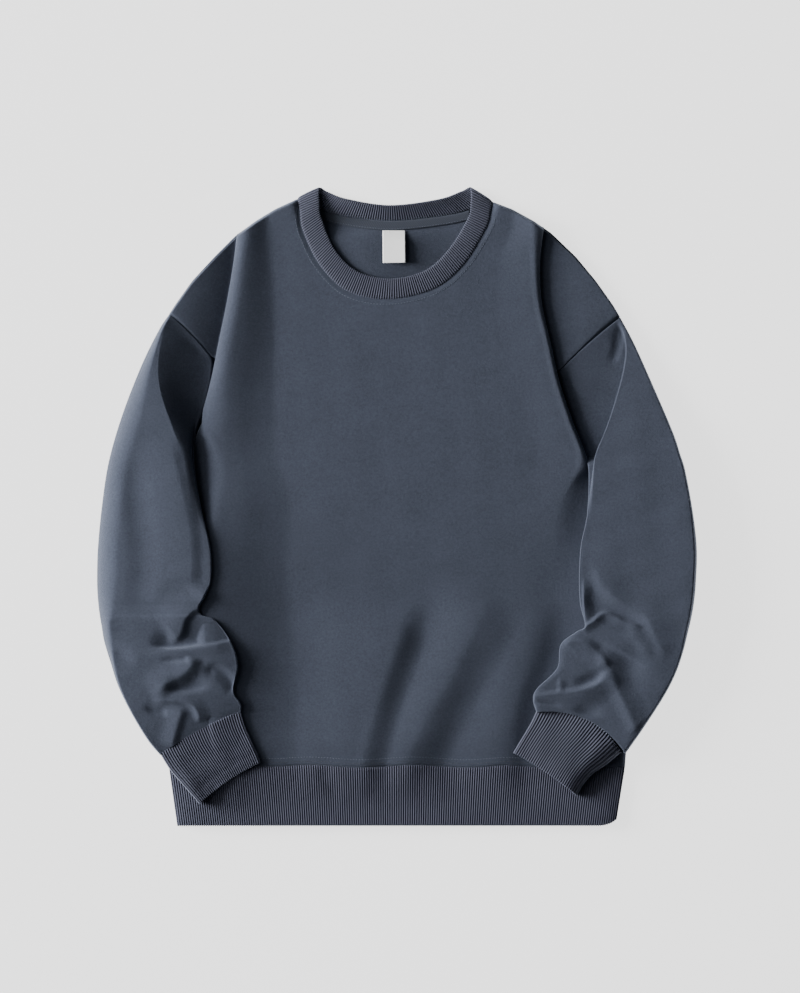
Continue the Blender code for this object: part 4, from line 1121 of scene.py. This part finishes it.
def make_stitches(name, line, material, pitch, length, width):
    """Short stitches at even steps along a line of points, lying on the cloth."""
    count = max(2, int(np.linalg.norm(np.diff(line, axis=0), axis=1).sum() / pitch))
    spots = even_spots(line, count + 1)
    bm = bmesh.new()
    for number in range(count):
        start, end = Vector(spots[number]), Vector(spots[number + 1])
        ahead = (end - start).normalized()
        turn = ahead.to_track_quat("X", "Z").to_matrix().to_4x4()
        size = Matrix.Diagonal((length / 2, width / 2, width / 2.6, 1))
        place = Matrix.Translation((start + end) / 2) @ turn @ size
        bmesh.ops.create_uvsphere(bm, u_segments=6, v_segments=4, radius=1, matrix=place)
    return finish_piece(name, bm, material, [])


def on_front(spots):
    x, y = spots[:, 0], spots[:, 1]
    return np.column_stack([x, y, front_height(x, y) + BODY_CLOTH / 2 + STITCH_LIFT])


def make_all_stitches():
    neck = neck_seam(np.linspace(NECK_LEFT + 1.3, NECK_RIGHT - 1.3, 400), 5.6, True)
    make_stitches("neck_topstitch", on_front(neck), THREAD, pitch=3.3, length=2.4, width=0.75)
    x = np.linspace(-244, 244, 500)
    for name, above, colour in (("hem_topstitch", 5.2, DARK_THREAD), ("hem_topstitch_upper", 9.6, THREAD)):
        spots = np.column_stack([x, HEM_SEAM_Y + above + seam_wave(x)])
        make_stitches(name, on_front(spots), colour, pitch=3.2, length=2.3, width=0.75)
    tape = neck_seam(np.linspace(NECK_ROUND - 0.7, NECK_RIGHT + 0.7, 300), TAPE_GAP)
    low = np.column_stack([tape[:, 0], tape[:, 1] - TAPE_WIDTH + 1.6])
    low = np.column_stack([low, 3.25 + back_swell(low[:, 0], low[:, 1])])
    make_stitches("tape_stitches", low, THREAD, pitch=3, length=2.1, width=0.6)
    x = np.linspace(LABEL_LEFT + 1, LABEL_LEFT + LABEL_WIDTH - 1, 20)
    y = np.full(20, LABEL_TOP - 1.6)
    lift = label_lift((x - LABEL_LEFT) / LABEL_WIDTH, 1.6 / LABEL_LENGTH)
    top = np.column_stack([x, y, 3.2 + back_swell(x, y) + lift])
    make_stitches("label_stitches", top, SATIN, pitch=2.4, length=1.7, width=0.5)


# ---- light, floor and camera

FLOOR_HALF, FLOOR_LEVEL = 4, -0.0006
FLOOR_COLOUR = (0.30, 0.30, 0.305, 1)
FLOOR_GLOW = 1.95
SKY = 0.07
SKY_COLOUR = (0.80, 0.88, 1, 1)
FRAME_LENGTH = 1.0923       # longer side of the view, in metres
CAMERA_PLACE = (0.0033, 0.0110, 3)
KEY_PLACE, KEY_SIZE, KEY_ENERGY = (-6.43, 1.37, 2.39), (3.3, 2.7), 1670
FILL_PLACE, FILL_SIZE, FILL_ENERGY = (-3.46, 0.73, 3.53), (2.9, 2.9), 90


def make_floor():
    bm = bmesh.new()
    bmesh.ops.create_grid(bm, x_segments=2, y_segments=2, size=FLOOR_HALF)
    mesh = bpy.data.meshes.new("studio_floor")
    bmesh.ops.translate(bm, vec=(0, 0, FLOOR_LEVEL), verts=bm.verts)
    bm.to_mesh(mesh)
    bm.free()
    material = bpy.data.materials.new("pale_floor")
    material.use_nodes = True
    for socket, value in {"Base Color": FLOOR_COLOUR, "Roughness": 0.8, "Specular IOR Level": 0.1,
                          "Emission Color": (1, 1, 1, 1), "Emission Strength": FLOOR_GLOW}.items():
        material.node_tree.nodes["Principled BSDF"].inputs[socket].default_value = value
    mesh.materials.append(material)
    linked("studio_floor", mesh)


def make_light(name, place, size, energy):
    light = bpy.data.lights.new(name, "AREA")
    light.shape = "RECTANGLE"
    light.size, light.size_y = size
    light.energy = energy
    lamp = linked(name, light)
    lamp.location = place
    lamp.rotation_euler = (-Vector(place)).to_track_quat("-Z", "Y").to_euler()


def make_studio():
    make_floor()
    world = bpy.data.worlds.new("studio")
    world.use_nodes = True
    background = world.node_tree.nodes["Background"]
    background.inputs["Color"].default_value = SKY_COLOUR
    background.inputs["Strength"].default_value = SKY
    bpy.context.scene.world = world
    make_light("key_softbox", KEY_PLACE, KEY_SIZE, KEY_ENERGY)
    make_light("fill_softbox", FILL_PLACE, FILL_SIZE, FILL_ENERGY)
    camera = bpy.data.cameras.new("straight_down")
    camera.type = "ORTHO"
    camera.ortho_scale = FRAME_LENGTH
    camera.clip_end = 20
    bpy.context.scene.camera = linked("straight_down", camera)
    bpy.context.scene.camera.location = CAMERA_PLACE


# ---- the whole garment

def main():
    back = make_back()
    front = make_front()
    sleeves = [make_sleeve("left_sleeve_cloth", SLEEVE_LEFT, LEFT_SLEEVE_FOLDS, "sleeve_left"),
               make_sleeve("right_sleeve_cloth", SLEEVE_RIGHT, RIGHT_SLEEVE_FOLDS, "sleeve_right")]
    cuffs = [make_cuff("left_cuff_knit", CUFF_LEFT, CUFF_LEFT_FOLDS, "cuff_left"),
             make_cuff("right_cuff_knit", CUFF_RIGHT, CUFF_RIGHT_FOLDS, "cuff_right")]
    hem_front = make_hem("hem_front_knit", False, "hem_rib_front")
    hem_back = make_hem("hem_back_knit", True, "hem_rib_back")
    band = make_neckband()
    tape = make_tape()
    label = make_label()
    make_all_stitches()
    make_studio()


main()
